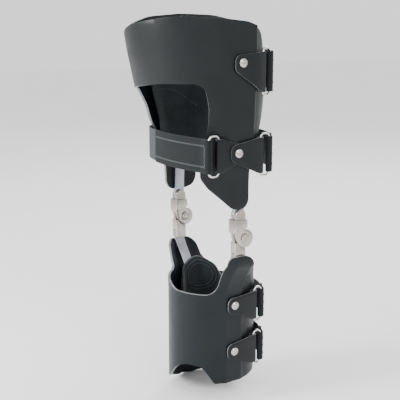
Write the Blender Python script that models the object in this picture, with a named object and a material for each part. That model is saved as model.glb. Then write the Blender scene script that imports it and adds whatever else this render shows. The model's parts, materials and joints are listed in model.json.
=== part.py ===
"""Knee orthosis with ring locks: thigh shell, calf shell and two side joints.

Metres, +Z up, -Y towards the front of the leg, +X towards the outer side of the leg.
The origin is the middle of the knee axis, which runs along X through both pivots.
Heights and widths below are written in millimetres and scaled once, by MM.
"""

import math

import bmesh
import bpy
from mathutils import Matrix, Vector

MM = 0.001

# Shells. Each table gives (height, value) pairs; a smooth curve runs through them.
THIGH_HALF_WIDTH = ((30, 73.7), (60, 74.0), (90, 76.5), (120, 79), (170, 81.5), (256, 84))
THIGH_HALF_DEPTH = ((30, 64), (118, 64), (170, 73.6), (256, 80.9))
THIGH_CENTRE_Y = ((30, -10), (118, -12), (170, -17.8), (256, -25.2))
CALF_HALF_WIDTH = (
    (-205, 53.7), (-78, 53.7), (-64, 56.2), (-52, 61.9), (-40, 70.5), (-30, 77.8), (-15, 78),
)
CALF_HALF_DEPTH = ((-205, 53), (-15, 53))
CALF_CENTRE_Y = ((-205, 0), (-15, 0))
SHELL_WALL = 3.2
LINER_INSET = 9.4
LINER_THICK = 3.6
THIGH_GIRTH_RADIUS = 75
CALF_GIRTH_RADIUS = 53

# Side bars. The knee joints sit at +X and -X; the bars lie inside the shells.
JOINT_X = 68.15
BAR_WIDTH = 13
BAR_THICK = 4
BAR_GAP = 0.35
JOINT_BAR_Y = -6
UPPER_BAR_Y = -3
LOWER_BAR_Y = -2
CHANNEL_FLAT = 11.5
CHANNEL_EDGE = 16.5
UPPER_BAR_TOP = 212
LOWER_BAR_FOOT = -154
LOWER_BAR_X = (
    (-205, 48.15), (-78, 48.15), (-64, 50.3), (-52, 55.8), (-40, 62.5), (-30, 67.3), (-15, 68.15),
)

# Knee joint, seen from the side: y forward is negative, z up, pivot at zero.
HEAD_RADIUS = 11
DISC_RADIUS = 10.6
CHEEK_THICK = 3.55
CHEEK_TOP = 34.5
LAYER_GAP = 0.25
STOP_HEIGHT = 6.4
STOP_GAP = 0.4
LOWER_BLOCK_FOOT = -27
SHAFT_RADIUS = 3.2
BUSH_RADIUS = 4.6
SCREW_HEAD_RADIUS = 5.7
SCREW_HEAD_HEIGHT = 2.0
RING_WALL = 1.6
RING_CLEARANCE = 0.3
RING_TOP = 22.5
RING_FRONT_FOOT = 6.7
RING_BACK_FOOT = 13.8

# Straps. rivet and loop are heights, rivet_y is how far back the rivet sits; after the rivet the
# tab runs straight, turns inwards by bend degrees and reaches the loop's near bar.
RIVET_RADIUS = 1.8
RIVET_HOLE = 2.9
RIVET_HEAD_RADIUS = 5.0
TAB_THICK = 2.0
TAB_NOSE = 8.5
WEB_THICK = 2.0
LOOP_WIRE = 1.5
STRAP_SETS = {
    "thigh_upper": dict(
        rivet=202, rivet_y=-13, loop=191, width=48, straight=14, bend=14, reach=6, span=12,
        lift=1.2, rest=2.6, lap=34,
    ),
    "thigh_rear_lower": dict(
        rivet=102, rivet_y=-16, loop=97, width=44, straight=13, bend=5, reach=8, span=13,
        lift=3.8, rest=3.5, lap=34,
    ),
    "calf_upper": dict(
        rivet=-86, rivet_y=-2, loop=-91, width=38, straight=8, bend=5, reach=11, span=11,
        lift=1.4, rest=1.4, lap=26,
    ),
    "calf_lower": dict(
        rivet=-144, rivet_y=-2, loop=-147, width=38, straight=8, bend=5, reach=11, span=11,
        lift=1.0, rest=1.0, lap=26,
    ),
}
FRONT_SET = dict(
    rivet=102, rivet_y=-16, loop=100, width=41, straight=6, bend=-3, reach=5, span=13,
    lift=1.2, lap=107,
)
FRONT_STRAP_LIFT = 6.4
FRONT_STRAP_BULGE = 61
MEDIAL_RIVETS = {"upper_thigh": 196, "lower_thigh": 100, "upper_calf": -91, "lower_calf": -147}

FINISHES = {
    "shell": ((0.030, 0.040, 0.046, 1), 0.0, 0.38),
    "liner": ((0.022, 0.028, 0.034, 1), 0.0, 0.85),
    "leather": ((0.026, 0.033, 0.039, 1), 0.0, 0.55),
    "webbing": ((0.018, 0.024, 0.028, 1), 0.0, 0.9),
    "steel_bar": ((0.40, 0.41, 0.45, 1), 1.0, 0.35),
    "nickel": ((0.46, 0.43, 0.40, 1), 1.0, 0.3),
    "rivet_steel": ((0.60, 0.58, 0.55, 1), 1.0, 0.22),
    "brass": ((0.50, 0.36, 0.16, 1), 1.0, 0.35),
}


# ---------------------------------------------------------------- helpers

def smooth(table, at):
    """The value of a (position, value) table at a position, on a curve with no corners."""
    points = list(table)
    if at <= points[0][0]:
        return points[0][1]
    if at >= points[-1][0]:
        return points[-1][1]
    index = max(i for i, point in enumerate(points[:-1]) if point[0] <= at)

    def slope(i):
        if i == 0 or i == len(points) - 1:
            return 0.0
        before = (points[i][1] - points[i - 1][1]) / (points[i][0] - points[i - 1][0])
        after = (points[i + 1][1] - points[i][1]) / (points[i + 1][0] - points[i][0])
        return 0.0 if before * after <= 0 else 2 * before * after / (before + after)

    low, high = points[index], points[index + 1]
    length = high[0] - low[0]
    t = (at - low[0]) / length
    bend = (t ** 3 - 2 * t ** 2 + t) * slope(index) + (t ** 3 - t ** 2) * slope(index + 1)
    return low[1] + (high[1] - low[1]) * (3 * t * t - 2 * t ** 3) + length * bend


def fade(value, start, end):
    """1 up to start, 0 from end, smooth between."""
    t = min(max((value - start) / (end - start), 0), 1)
    return 1 - t * t * (3 - 2 * t)


class Section:
    """The horizontal outline of a shell at each height, with a flat channel over each side bar."""

    def __init__(self, width, depth, centre, channel_y):
        self.width, self.depth, self.centre, self.channel_y = width, depth, centre, channel_y

    def point(self, angle, height, offset=0.0):
        """A point on the surface. Angle 0 is the front, 90 the outer side, 180 the back."""
        turn = math.radians(angle)
        side = smooth(self.width, height) + offset
        x = side * math.sin(turn)
        y = smooth(self.centre, height) - (smooth(self.depth, height) + offset) * math.cos(turn)
        flat = fade(abs(y - self.channel_y), CHANNEL_FLAT, CHANNEL_EDGE)
        if abs(math.sin(turn)) > 0.7:
            x += flat * (math.copysign(side, x) - x)
        return Vector((x, y, height))

    def angle_at(self, y, height):
        """The angle on the outer side where the surface passes this y."""
        return math.degrees(math.acos((smooth(self.centre, height) - y) / smooth(self.depth, height)))


THIGH = Section(THIGH_HALF_WIDTH, THIGH_HALF_DEPTH, THIGH_CENTRE_Y, UPPER_BAR_Y)
CALF = Section(CALF_HALF_WIDTH, CALF_HALF_DEPTH, CALF_CENTRE_Y, LOWER_BAR_Y)


def clear_scene():
    for thing in list(bpy.data.objects):
        bpy.data.objects.remove(thing, do_unlink=True)


def finish(name):
    if name in bpy.data.materials:
        return bpy.data.materials[name]
    colour, metallic, roughness = FINISHES[name]
    made = bpy.data.materials.new(name)
    made.use_nodes = True
    made.diffuse_color = colour
    shader = made.node_tree.nodes["Principled BSDF"]
    shader.inputs["Base Color"].default_value = colour
    shader.inputs["Metallic"].default_value = metallic
    shader.inputs["Roughness"].default_value = roughness
    return made


def node(name, bm, material, parent=None):
    """Turns a bmesh in millimetres into a named object in metres."""
    bmesh.ops.remove_doubles(bm, verts=bm.verts, dist=0.002)
    bmesh.ops.recalc_face_normals(bm, faces=bm.faces)
    bmesh.ops.scale(bm, vec=(MM, MM, MM), verts=bm.verts)
    mesh = bpy.data.meshes.new(name)
    bm.to_mesh(mesh)
    bm.free()
    mesh.materials.append(finish(material))
    made = bpy.data.objects.new(name, mesh)
    bpy.context.collection.objects.link(made)
    if parent:
        made.parent = parent
    return made


def cut(target, cutter):
    """Takes the cutter's shape out of the target with a Boolean modifier."""
    cutter.hide_render = True
    cutter.display_type = "WIRE"
    modifier = target.modifiers.new("cut_" + cutter.name, "BOOLEAN")
    modifier.operation = "DIFFERENCE"
    modifier.solver = "EXACT"
    modifier.object = cutter


def rounded(corners, step=18):
    """Points of a closed outline whose (x, y, radius) corners are rounded by arcs."""
    points = []
    count = len(corners)
    for i, (x, y, radius) in enumerate(corners):
        here = Vector((x, y))
        before = Vector(corners[i - 1][:2]) - here
        after = Vector(corners[(i + 1) % count][:2]) - here
        bend = math.pi - before.angle(after)
        if radius <= 0 or bend < 0.02:
            points.append(here)
            continue
        reach = radius * math.tan(bend / 2)
        longest = 0.499 * min(before.length, after.length)
        if reach > longest:
            radius *= longest / reach
            reach = longest
        start, end = here + before.normalized() * reach, here + after.normalized() * reach
        middle = here + (before.normalized() + after.normalized()).normalized() * (
            radius / math.cos(bend / 2)
        )
        pieces = max(1, round(math.degrees(bend) / step))
        first, last = start - middle, end - middle
        turn = first.angle_signed(last)
        for k in range(pieces + 1):
            points.append(middle + Matrix.Rotation(-turn * k / pieces, 2) @ first)
    return points


def circle(x, y, radius, count=12):
    turns = [2 * math.pi * k / count for k in range(count)]
    return [Vector((x + radius * math.cos(t), y + radius * math.sin(t))) for t in turns]


def flat_face(outline, holes=()):
    """A bmesh with the outline filled, leaving the holes open."""
    bm = bmesh.new()
    edges = []
    for loop in (outline, *holes):
        ring = [bm.verts.new((point[0], point[1], 0)) for point in loop]
        edges += [bm.edges.new((ring[i - 1], ring[i])) for i in range(len(ring))]
    bmesh.ops.triangle_fill(bm, use_beauty=True, use_dissolve=False, edges=edges)
    return bm


def slice_face(bm, axis, positions):
    for position in positions:
        place = Vector((0, 0, 0))
        place[axis] = position
        normal = Vector((0, 0, 0))
        normal[axis] = 1
        bmesh.ops.bisect_plane(
            bm, geom=bm.verts[:] + bm.edges[:] + bm.faces[:], dist=0.01, plane_co=place, plane_no=normal
        )


def keep_divisions(bm, across, up):
    """Removes the edges left by the filling, so only the border and the divisions remain."""
    def divides(edge):
        first, second = (vert.co for vert in edge.verts)
        lines = ((0, across), (1, up))
        return any(
            abs(first[axis] - place) < 0.02 and abs(second[axis] - place) < 0.02
            for axis, places in lines for place in places
        )

    spare = [edge for edge in bm.edges if not edge.is_boundary and not divides(edge)]
    bmesh.ops.dissolve_edges(bm, edges=spare, use_verts=False)
    between = [vert for vert in bm.verts if len(vert.link_edges) == 2 and not vert.is_boundary]
    bmesh.ops.dissolve_verts(bm, verts=between)


def panel(outline, holes, thickness, place, across, up):
    """A flat pattern cut out, given its thickness and bent into place.

    place(x, y, depth) gives the bent position; across and up are where the pattern is divided.
    """
    bm = flat_face(outline, holes)
    slice_face(bm, 0, across)
    slice_face(bm, 1, up)
    keep_divisions(bm, across, up)
    bmesh.ops.recalc_face_normals(bm, faces=bm.faces)
    made = bmesh.ops.extrude_face_region(bm, geom=bm.faces[:])
    top = [part for part in made["geom"] if isinstance(part, bmesh.types.BMVert)]
    bmesh.ops.translate(bm, verts=top, vec=(0, 0, thickness))
    bmesh.ops.triangulate(bm, faces=bm.faces[:])
    for vert in bm.verts:
        vert.co = place(vert.co.x, vert.co.y, vert.co.z)
    return bm


def every(start, end, step):
    count = max(1, round((end - start) / step))
    return [start + (end - start) * k / count for k in range(1, count)]


def plate(outline, low, high):
    """An outline in the side view (y, z), extruded along X."""
    bm = flat_face(outline)
    bmesh.ops.dissolve_limit(bm, angle_limit=0.01, verts=bm.verts[:], edges=bm.edges[:])
    made = bmesh.ops.extrude_face_region(bm, geom=bm.faces[:])
    top = [part for part in made["geom"] if isinstance(part, bmesh.types.BMVert)]
    bmesh.ops.translate(bm, verts=top, vec=(0, 0, high - low))
    for vert in bm.verts:
        vert.co = Vector((low + vert.co.z, vert.co.x, vert.co.y))
    return bm


def disc(radius, low, high, count=24, y=0.0, z=0.0):
    """A round piece along X."""
    bm = bmesh.new()
    bmesh.ops.create_cone(
        bm, cap_ends=True, segments=count, radius1=radius, radius2=radius, depth=high - low
    )
    bmesh.ops.rotate(bm, cent=(0, 0, 0), matrix=Matrix.Rotation(math.pi / 2, 3, "Y"), verts=bm.verts)
    bmesh.ops.translate(bm, vec=((low + high) / 2, y, z), verts=bm.verts)
    return bm


def ribbon(path, low, high, thickness):
    """A band that stands on edge and follows a path in plan."""
    sides = []
    for i, point in enumerate(path):
        before = path[max(i - 1, 0)]
        after = path[min(i + 1, len(path) - 1)]
        along = (after - before).normalized()
        across = Vector((-along.y, along.x)) * (thickness / 2)
        sides.append((point - across, point + across))
    bm = bmesh.new()
    rows = []
    for right, left in sides:
        rows.append([bm.verts.new((*corner, z)) for z in (low, high) for corner in (right, left)])
    order = (0, 1, 3, 2)
    for first, second in zip(rows, rows[1:]):
        for k in range(4):
            a, b = order[k], order[(k + 1) % 4]
            bm.faces.new((first[a], first[b], second[b], second[a]))
    bm.faces.new([rows[0][k] for k in order])
    bm.faces.new([rows[-1][k] for k in reversed(order)])
    return bm


def mirrored(bm, side):
    """The same shape on the outer side (1) or the inner side (-1)."""
    if side < 0:
        bmesh.ops.scale(bm, vec=(-1, 1, 1), verts=bm.verts)
    return bm


# ---------------------------------------------------------------- shells and liners

def rivet_holes(section, girth, places):
    """Holes at (side, y, height)."""
    holes = []
    for side, y, height in places:
        angle = section.angle_at(y, height)
        holes.append(circle(math.radians(side * angle) * girth, height, RIVET_HOLE, 10))
    return holes


def columns_between(low, high, girth):
    """Where a shell is divided round its girth: finer by the side bars."""
    angles = [a for a in range(-176, 178, 9) if not 80 < abs(a) < 118]
    angles += [side * a for side in (-1, 1) for a in (81, 86, 91, 96, 101, 106, 111, 116)]
    return [math.radians(a) * girth for a in sorted(angles) if low < math.radians(a) * girth < high]


def shell(name, section, girth, corners, places, rows, parent):
    """Corners are (angle, height, radius) round the shell, from its inner back edge."""
    outline = rounded([(math.radians(a) * girth, z, r) for a, z, r in corners])
    holes = rivet_holes(section, girth, places)

    def place(x, y, depth):
        return section.point(math.degrees(x / girth), y, depth - SHELL_WALL)

    low, high = min(p.x for p in outline), max(p.x for p in outline)
    middles = [sum(hole, Vector((0, 0))) / len(hole) for hole in holes]
    columns = columns_between(low, high, girth) + [middle.x for middle in middles]
    rows = [*rows, *(middle.y for middle in middles)]
    return node(name, panel(outline, holes, SHELL_WALL, place, columns, rows), "shell", parent)


def thigh_shell(parent):
    corners = [
        (-163, 246, 10), (-140, 253, 40), (-112, 254.8, 40), (-80, 251.5, 40), (-56, 243.5, 30),
        (-34, 230, 20), (-17, 237, 25), (0, 243.5, 30), (44, 252.3, 50), (75, 250.8, 50),
        (104, 246.5, 25), (126, 236, 22), (134, 210, 30), (153, 198, 20), (153, 175, 25),
        (128, 132, 40), (103, 92, 25), (103, 35.5, 14), (84, 35.5, 15), (58, 61, 15), (50, 73, 12),
        (51, 88, 15), (56, 118, 40), (62.5, 152, 15), (62.5, 180, 25), (22, 178.5, 40),
        (-44, 167.3, 12), (-53.5, 148, 20), (-54.5, 128, 12), (-66, 112, 12), (-70, 88, 25), (-77, 66, 15),
        (-77, 35.5, 17), (-116, 35.5, 22), (-116, 74, 20), (-128, 112, 40), (-163, 168, 30),
    ]
    upper, lower = STRAP_SETS["thigh_upper"], STRAP_SETS["thigh_rear_lower"]
    places = [(1, upper["rivet_y"], upper["rivet"]), (1, lower["rivet_y"], lower["rivet"])]
    places += [(-1, UPPER_BAR_Y, MEDIAL_RIVETS[key]) for key in ("upper_thigh", "lower_thigh")]
    rows = (60, 92, 125, 165, 210)
    return shell("thigh_shell", THIGH, THIGH_GIRTH_RADIUS, corners, places, rows, parent)


def calf_shell(parent):
    corners = [
        (-60, -62, 10), (-25, -66, 25), (0, -72.5, 30), (66, -72.5, 15), (64, -38, 12),
        (68, -19.6, 15), (96, -19.6, 15), (106, -36, 20), (122, -54, 20), (148, -78, 20),
        (148, -180, 14), (110, -182.5, 20), (62.5, -184.5, 3), (50.5, -169, 6), (44, -163.5, 8),
        (22, -161.5, 30), (2, -172, 15), (-18, -190, 8), (-40, -198, 20), (-62, -206, 30),
        (-92, -209.5, 40), (-148, -202, 14), (-148, -84, 20), (-124, -66, 20), (-112, -52, 10),
        (-110, -31, 16), (-66, -31, 16), (-59, -50, 10),
    ]
    rows = (-32, -44, -56, -66, -80, -130)
    places = [(1, LOWER_BAR_Y, STRAP_SETS[key]["rivet"]) for key in ("calf_upper", "calf_lower")]
    places += [(-1, LOWER_BAR_Y, MEDIAL_RIVETS[key]) for key in ("upper_calf", "lower_calf")]
    return shell("calf_shell", CALF, CALF_GIRTH_RADIUS, corners, places, rows, parent)


def liner(name, section, girth, corners, rows, parent):
    """A soft lining inside the bars, from the outer side round the back to the inner side."""
    outline = rounded([(math.radians(a) * girth, z, r) for a, z, r in corners])

    def place(x, y, depth):
        return section.point(math.degrees(x / girth), y, depth - LINER_INSET - LINER_THICK)

    low, high = min(p.x for p in outline), max(p.x for p in outline)
    columns = every(low, high, math.radians(12) * girth)
    return node(name, panel(outline, (), LINER_THICK, place, columns, rows), "liner", parent)


def thigh_liner(parent):
    corners = [
        (66, 90, 14), (66, 224, 14), (128, 218, 40), (158, 208, 40), (200, 232, 30), (298, 228, 14),
        (296, 90, 14), (250, 84, 30), (180, 104, 40), (110, 84, 30),
    ]
    return liner("thigh_liner", THIGH, THIGH_GIRTH_RADIUS, corners, (118, 145, 170, 200), parent)


def calf_liner(parent):
    corners = [
        (70, -180, 10), (62, -76, 10), (70, -62, 16), (102, -48, 30), (132, -62, 16), (142, -78, 10),
        (218, -78, 10), (228, -62, 16), (258, -48, 30), (290, -62, 16), (298, -76, 10),
        (294, -188, 10), (180, -188, 30),
    ]
    return liner("calf_liner", CALF, CALF_GIRTH_RADIUS, corners, (-64, -74, -100, -150), parent)


# ---------------------------------------------------------------- side bars and knee joints

def bar_strip(profile, y_at, side):
    """A flat bar whose (x, z) centre line is given, as wide as BAR_WIDTH in y."""
    edges = []
    for i, (x, z) in enumerate(profile):
        before = Vector(profile[max(i - 1, 0)])
        after = Vector(profile[min(i + 1, len(profile) - 1)])
        along = (after - before).normalized()
        across = Vector((-along.y, along.x)) * (BAR_THICK / 2)
        edges.append((Vector((x, z)) - across, Vector((x, z)) + across))
    bm = bmesh.new()
    rows = []
    for (right, left), (x, z) in zip(edges, profile):
        y = y_at(z)
        corners = ((right, -1), (left, -1), (left, 1), (right, 1))
        rows.append([bm.verts.new((p.x, y + k * BAR_WIDTH / 2, p.y)) for p, k in corners])
    for first, second in zip(rows, rows[1:]):
        for k in range(4):
            bm.faces.new((first[k], first[(k + 1) % 4], second[(k + 1) % 4], second[k]))
    bm.faces.new(rows[0])
    bm.faces.new(list(reversed(rows[-1])))
    return mirrored(bm, side)


def rivet_cutter(name, side, y, height, radius=2.3):
    bm = disc(radius, 30, 110, 10, y, height)
    return node(name, mirrored(bm, side), "nickel")


def upper_upright(side, label, parent):
    """The strip between the cheeks, ending in a foot that rides clear of the disc."""
    heights = [STOP_HEIGHT + STOP_GAP, 32, 50, 70, 95, 120, 145, 170, 190, UPPER_BAR_TOP]
    profile = []
    for z in heights:
        x = smooth(THIGH_HALF_WIDTH, z) - SHELL_WALL - BAR_GAP - BAR_THICK / 2
        profile.append((JOINT_X if z < 40 else max(x, JOINT_X), z))

    def centre_y(z):
        return UPPER_BAR_Y + (JOINT_BAR_Y - UPPER_BAR_Y) * fade(z, 36, 110)

    made = node(label + "_upper_upright", bar_strip(profile, centre_y, side), "steel_bar", parent)
    round_room = disc(DISC_RADIUS + STOP_GAP, 60, 76, 40)
    round_gap = node(label + "_foot_cutter", mirrored(round_room, side), "nickel")
    cut(made, round_gap)
    if side < 0:
        for key in ("upper_thigh", "lower_thigh"):
            cut(made, rivet_cutter(f"medial_{key}_cutter", side, UPPER_BAR_Y, MEDIAL_RIVETS[key]))
    return made


def sweep_y(z):
    """The lower bar's centre line moves back a little as it follows the calf."""
    return LOWER_BAR_Y + (JOINT_BAR_Y - LOWER_BAR_Y) * fade(-z, 28, 70)


def lower_upright(side, label, parent):
    heights = [-17.5, -29, -36, -43, -50, -57, -64, -71, -80, LOWER_BAR_FOOT]
    profile = [(smooth(LOWER_BAR_X, z), z) for z in heights]
    profile = [(JOINT_X if z > -30 else x, z) for x, z in profile]
    made = node(label + "_lower_upright", bar_strip(profile, sweep_y, side), "steel_bar", parent)
    for key in ("upper_calf", "lower_calf"):
        height = MEDIAL_RIVETS[key] if side < 0 else STRAP_SETS["calf_" + key.split("_")[0]]["rivet"]
        cut(made, rivet_cutter(f"{label}_{key}_cutter", side, LOWER_BAR_Y, height))
    return made


def arc_points(radius, start, end, step=9):
    """Points on a circle about the pivot, angles in degrees from +Y towards +Z."""
    count = max(1, round(abs(end - start) / step))
    turns = [math.radians(start + (end - start) * k / count) for k in range(count + 1)]
    return [Vector((radius * math.cos(t), radius * math.sin(t))) for t in turns]


BAR_FRONT = JOINT_BAR_Y - BAR_WIDTH / 2
BAR_BACK = JOINT_BAR_Y + BAR_WIDTH / 2


def cheek_outline():
    """A round head about the pivot that runs up into a bar with a rounded top."""
    back_turn = math.degrees(math.acos(BAR_BACK / HEAD_RADIUS))
    head = arc_points(HEAD_RADIUS, back_turn, -172)
    top = [(BAR_FRONT, CHEEK_TOP), (BAR_BACK, CHEEK_TOP)]
    crown = rounded([(BAR_FRONT, 3, 0), (*top[0], 6.2), (*top[1], 6.2), (BAR_BACK, 14, 0)], 22)
    return crown + head


def cheek(side, label, layer, parent):
    """Layer 1 is the outer cheek, -1 the inner one."""
    inner = BAR_THICK / 2 + LAYER_GAP
    low, high = sorted((layer * inner, layer * (inner + CHEEK_THICK)))
    bm = plate(cheek_outline(), JOINT_X + low, JOINT_X + high)
    name = f"{label}_{'outer' if layer > 0 else 'inner'}_cheek"
    made = node(name, mirrored(bm, side), "nickel", parent)
    bore = node(name + "_bore", mirrored(disc(SHAFT_RADIUS + 0.3, 60, 76, 20), side), "nickel")
    cut(made, bore)
    return made


def lower_joint_bar(side, label, parent):
    """The disc that turns between the cheeks, its stop finger, and the thick bar under it."""
    half = BAR_THICK / 2 - 0.15
    front = BAR_FRONT + 0.1
    stop_turn = 180 - math.degrees(math.asin(STOP_HEIGHT / DISC_RADIUS))
    outline = [Vector((BAR_BACK, -19)), *arc_points(DISC_RADIUS, -86, stop_turn)]
    outline += [Vector((front, STOP_HEIGHT)), Vector((front, -19))]
    bar = mirrored(plate(outline, JOINT_X - half, JOINT_X + half), side)
    made = node(label + "_lower_joint_bar", bar, "nickel", parent)
    step = HEAD_RADIUS + 0.4
    back_turn = -math.degrees(math.acos(BAR_BACK / step))
    block = [Vector((front, LOWER_BLOCK_FOOT)), Vector((BAR_BACK, LOWER_BLOCK_FOOT))]
    block += arc_points(step, back_turn, -157)
    block += [Vector((front, -step * math.sin(math.radians(23))))]
    deep = BAR_THICK / 2 + LAYER_GAP + CHEEK_THICK - 0.1
    thick = node(label + "_block", mirrored(plate(block, JOINT_X - deep, JOINT_X + deep), side), "nickel")
    thick.hide_render = True
    thick.display_type = "WIRE"
    join = made.modifiers.new("block", "BOOLEAN")
    join.operation = "UNION"
    join.object = thick
    slot = bmesh.new()
    bmesh.ops.create_cube(slot, size=1)
    bmesh.ops.scale(slot, vec=(BAR_THICK + 0.6, BAR_WIDTH + 6, 14), verts=slot.verts)
    bmesh.ops.translate(slot, vec=(JOINT_X, JOINT_BAR_Y, -17.1 - 7), verts=slot.verts)
    socket = node(label + "_socket", mirrored(slot, side), "nickel")
    cut(made, socket)
    cut(made, node(label + "_disc_bore", mirrored(disc(BUSH_RADIUS + 0.3, 60, 76, 24), side), "nickel"))
    return made


def pivot_bushing(side, label, parent):
    half = BAR_THICK / 2 - 0.15
    bm = disc(BUSH_RADIUS, JOINT_X - half, JOINT_X + half, 20)
    made = node(label + "_pivot_bushing", mirrored(bm, side), "brass", parent)
    cut(made, node(label + "_bush_bore", mirrored(disc(SHAFT_RADIUS + 0.3, 60, 76, 20), side), "brass"))
    return made


def pivot_screw(side, label, parent):
    """Flat head with a slot on the outside, plain shaft through both cheeks."""
    face = BAR_THICK / 2 + LAYER_GAP + CHEEK_THICK + 0.2
    bm = bmesh.new()
    stations = (
        (JOINT_X - face - 2.3, SHAFT_RADIUS), (JOINT_X + face, SHAFT_RADIUS),
        (JOINT_X + face, SCREW_HEAD_RADIUS),
        (JOINT_X + face + 1.4, SCREW_HEAD_RADIUS),
        (JOINT_X + face + SCREW_HEAD_HEIGHT, SCREW_HEAD_RADIUS - 0.7),
    )
    ends = [bm.verts.new((stations[0][0], 0, 0))]
    ends += [bm.verts.new((x, r, 0)) for x, r in stations]
    ends += [bm.verts.new((stations[-1][0], 0, 0))]
    profile = [bm.edges.new(pair) for pair in zip(ends, ends[1:])]
    bmesh.ops.spin(
        bm, geom=ends + profile, cent=(0, 0, 0), axis=(1, 0, 0), angle=2 * math.pi, steps=24, use_merge=True
    )
    made = node(label + "_pivot_screw", mirrored(bm, side), "nickel", parent)
    slot = bmesh.new()
    bmesh.ops.create_cube(slot, size=1)
    bmesh.ops.scale(slot, vec=(2.0, 1.5, 16), verts=slot.verts)
    slant = Matrix.Rotation(math.radians(-40), 3, "X")
    bmesh.ops.rotate(slot, cent=(0, 0, 0), matrix=slant, verts=slot.verts)
    bmesh.ops.translate(slot, vec=(JOINT_X + face + SCREW_HEAD_HEIGHT, 0, 0), verts=slot.verts)
    cut(made, node(label + "_screw_slot", mirrored(slot, side), "nickel"))
    return made


def pivot_nut(side, label, parent):
    """Round nut on the side of the leg, around the end of the screw."""
    face = BAR_THICK / 2 + LAYER_GAP + CHEEK_THICK + 0.2
    bm = disc(5.4, JOINT_X - face - 1.8, JOINT_X - face, 20)
    made = node(label + "_pivot_nut", mirrored(bm, side), "nickel", parent)
    cut(made, node(label + "_nut_bore", mirrored(disc(SHAFT_RADIUS + 0.3, 50, 76, 20), side), "nickel"))
    return made


def lock_ring(side, label, parent):
    """A box-shaped sleeve round both cheeks, cut obliquely below to clear the round head."""
    deep = BAR_THICK / 2 + LAYER_GAP + CHEEK_THICK + RING_CLEARANCE
    front, back = BAR_FRONT - RING_CLEARANCE, BAR_BACK + RING_CLEARANCE
    outer = rounded([
        (JOINT_X - deep - RING_WALL, front - RING_WALL, 1.0),
        (JOINT_X + deep + RING_WALL, front - RING_WALL, 1.0),
        (JOINT_X + deep + RING_WALL, back + RING_WALL, 1.0),
        (JOINT_X - deep - RING_WALL, back + RING_WALL, 1.0),
    ], 45)
    left, right = JOINT_X - deep, JOINT_X + deep
    hole = [Vector(p) for p in ((left, front), (right, front), (right, back), (left, back))]
    slope = (RING_BACK_FOOT - RING_FRONT_FOOT) / (back + RING_WALL - front + RING_WALL)

    def place(x, y, depth):
        foot = RING_FRONT_FOOT + slope * (y - front + RING_WALL)
        return Vector((x, y, foot + (RING_TOP - foot) * depth))

    bm = panel(outer, (hole,), 1.0, place, (), ())
    return node(label + "_lock_ring", mirrored(bm, side), "nickel", parent)


# ---------------------------------------------------------------- straps

def rivet(name, section, side, y, height, stack, bar, parent):
    """Domed head outside, shank through tab, shell and any bar, small head on the inside."""
    wall = smooth(section.width, height)
    head = wall + stack + 0.3
    tail = wall - SHELL_WALL - bar - 0.3
    bm = bmesh.new()
    stations = [
        (tail - 0.9, 3.2), (tail, 3.2), (tail, RIVET_RADIUS), (head, RIVET_RADIUS),
        (head, RIVET_HEAD_RADIUS),
        (head + 0.8, RIVET_HEAD_RADIUS), (head + 2.2, 3.0), (head + 1.5, 1.2),
    ]
    ends = [bm.verts.new((stations[0][0], 0, 0))]
    ends += [bm.verts.new((x, r, 0)) for x, r in stations]
    ends += [bm.verts.new((stations[-1][0], 0, 0))]
    profile = [bm.edges.new(pair) for pair in zip(ends, ends[1:])]
    bmesh.ops.spin(
        bm, geom=ends + profile, cent=(0, 0, 0), axis=(1, 0, 0), angle=2 * math.pi, steps=10, use_merge=True
    )
    bmesh.ops.translate(bm, vec=(0, y, height), verts=bm.verts)
    return node(name, mirrored(bm, side), "rivet_steel", parent)


def plan_path(section, height, start, end, offset, step=6):
    """Points in plan along the surface, from one angle to another; offset may be a function."""
    count = max(2, round(abs(end - start) / step))
    points = []
    for k in range(count + 1):
        angle = start + (end - start) * k / count
        away = offset(angle) if callable(offset) else offset
        points.append(section.point(angle, height, away).to_2d())
    return points


def turn_round(centre, start, radius, sweep, steps=6):
    """Points on a circle about a centre, beginning at start and turning by sweep degrees."""
    first = (start - centre).normalized() * radius
    turns = [Matrix.Rotation(math.radians(sweep) * k / steps, 2) for k in range(1, steps + 1)]
    return [centre + turn @ first for turn in turns]


def lengths(path):
    total = [0.0]
    for first, second in zip(path, path[1:]):
        total.append(total[-1] + (second - first).length)
    return total


def along_path(path, distance):
    """The point and the left-hand normal at a distance along a path in plan."""
    total = lengths(path)
    distance = min(max(distance, 0.0), total[-1] - 1e-6)
    index = max(i for i, length in enumerate(total[:-1]) if length <= distance)
    step = path[index + 1] - path[index]
    point = path[index] + step * ((distance - total[index]) / step.length)
    left = Vector((-step.y, step.x)).normalized()
    return point, left


def tab_path(section, data, direction):
    """Straight along the channel past the rivet, a turn inwards, then straight to the loop's near bar.

    direction is 1 for a tab that points back, -1 for one that points to the front.
    """
    x = smooth(section.width, data["loop"]) + data["lift"] + TAB_THICK / 2
    nose = Vector((x, data["rivet_y"] - direction * (TAB_NOSE + 1)))
    heading = Vector((0, direction))
    path = [nose, nose + heading * (TAB_NOSE + 1 + data["straight"])]
    turns = 4
    for _ in range(turns):
        heading = Matrix.Rotation(math.radians(direction * data["bend"] / turns), 2) @ heading
        path.append(path[-1] + heading * 3)
    path.append(path[-1] + heading * data["reach"])
    return path, heading


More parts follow.
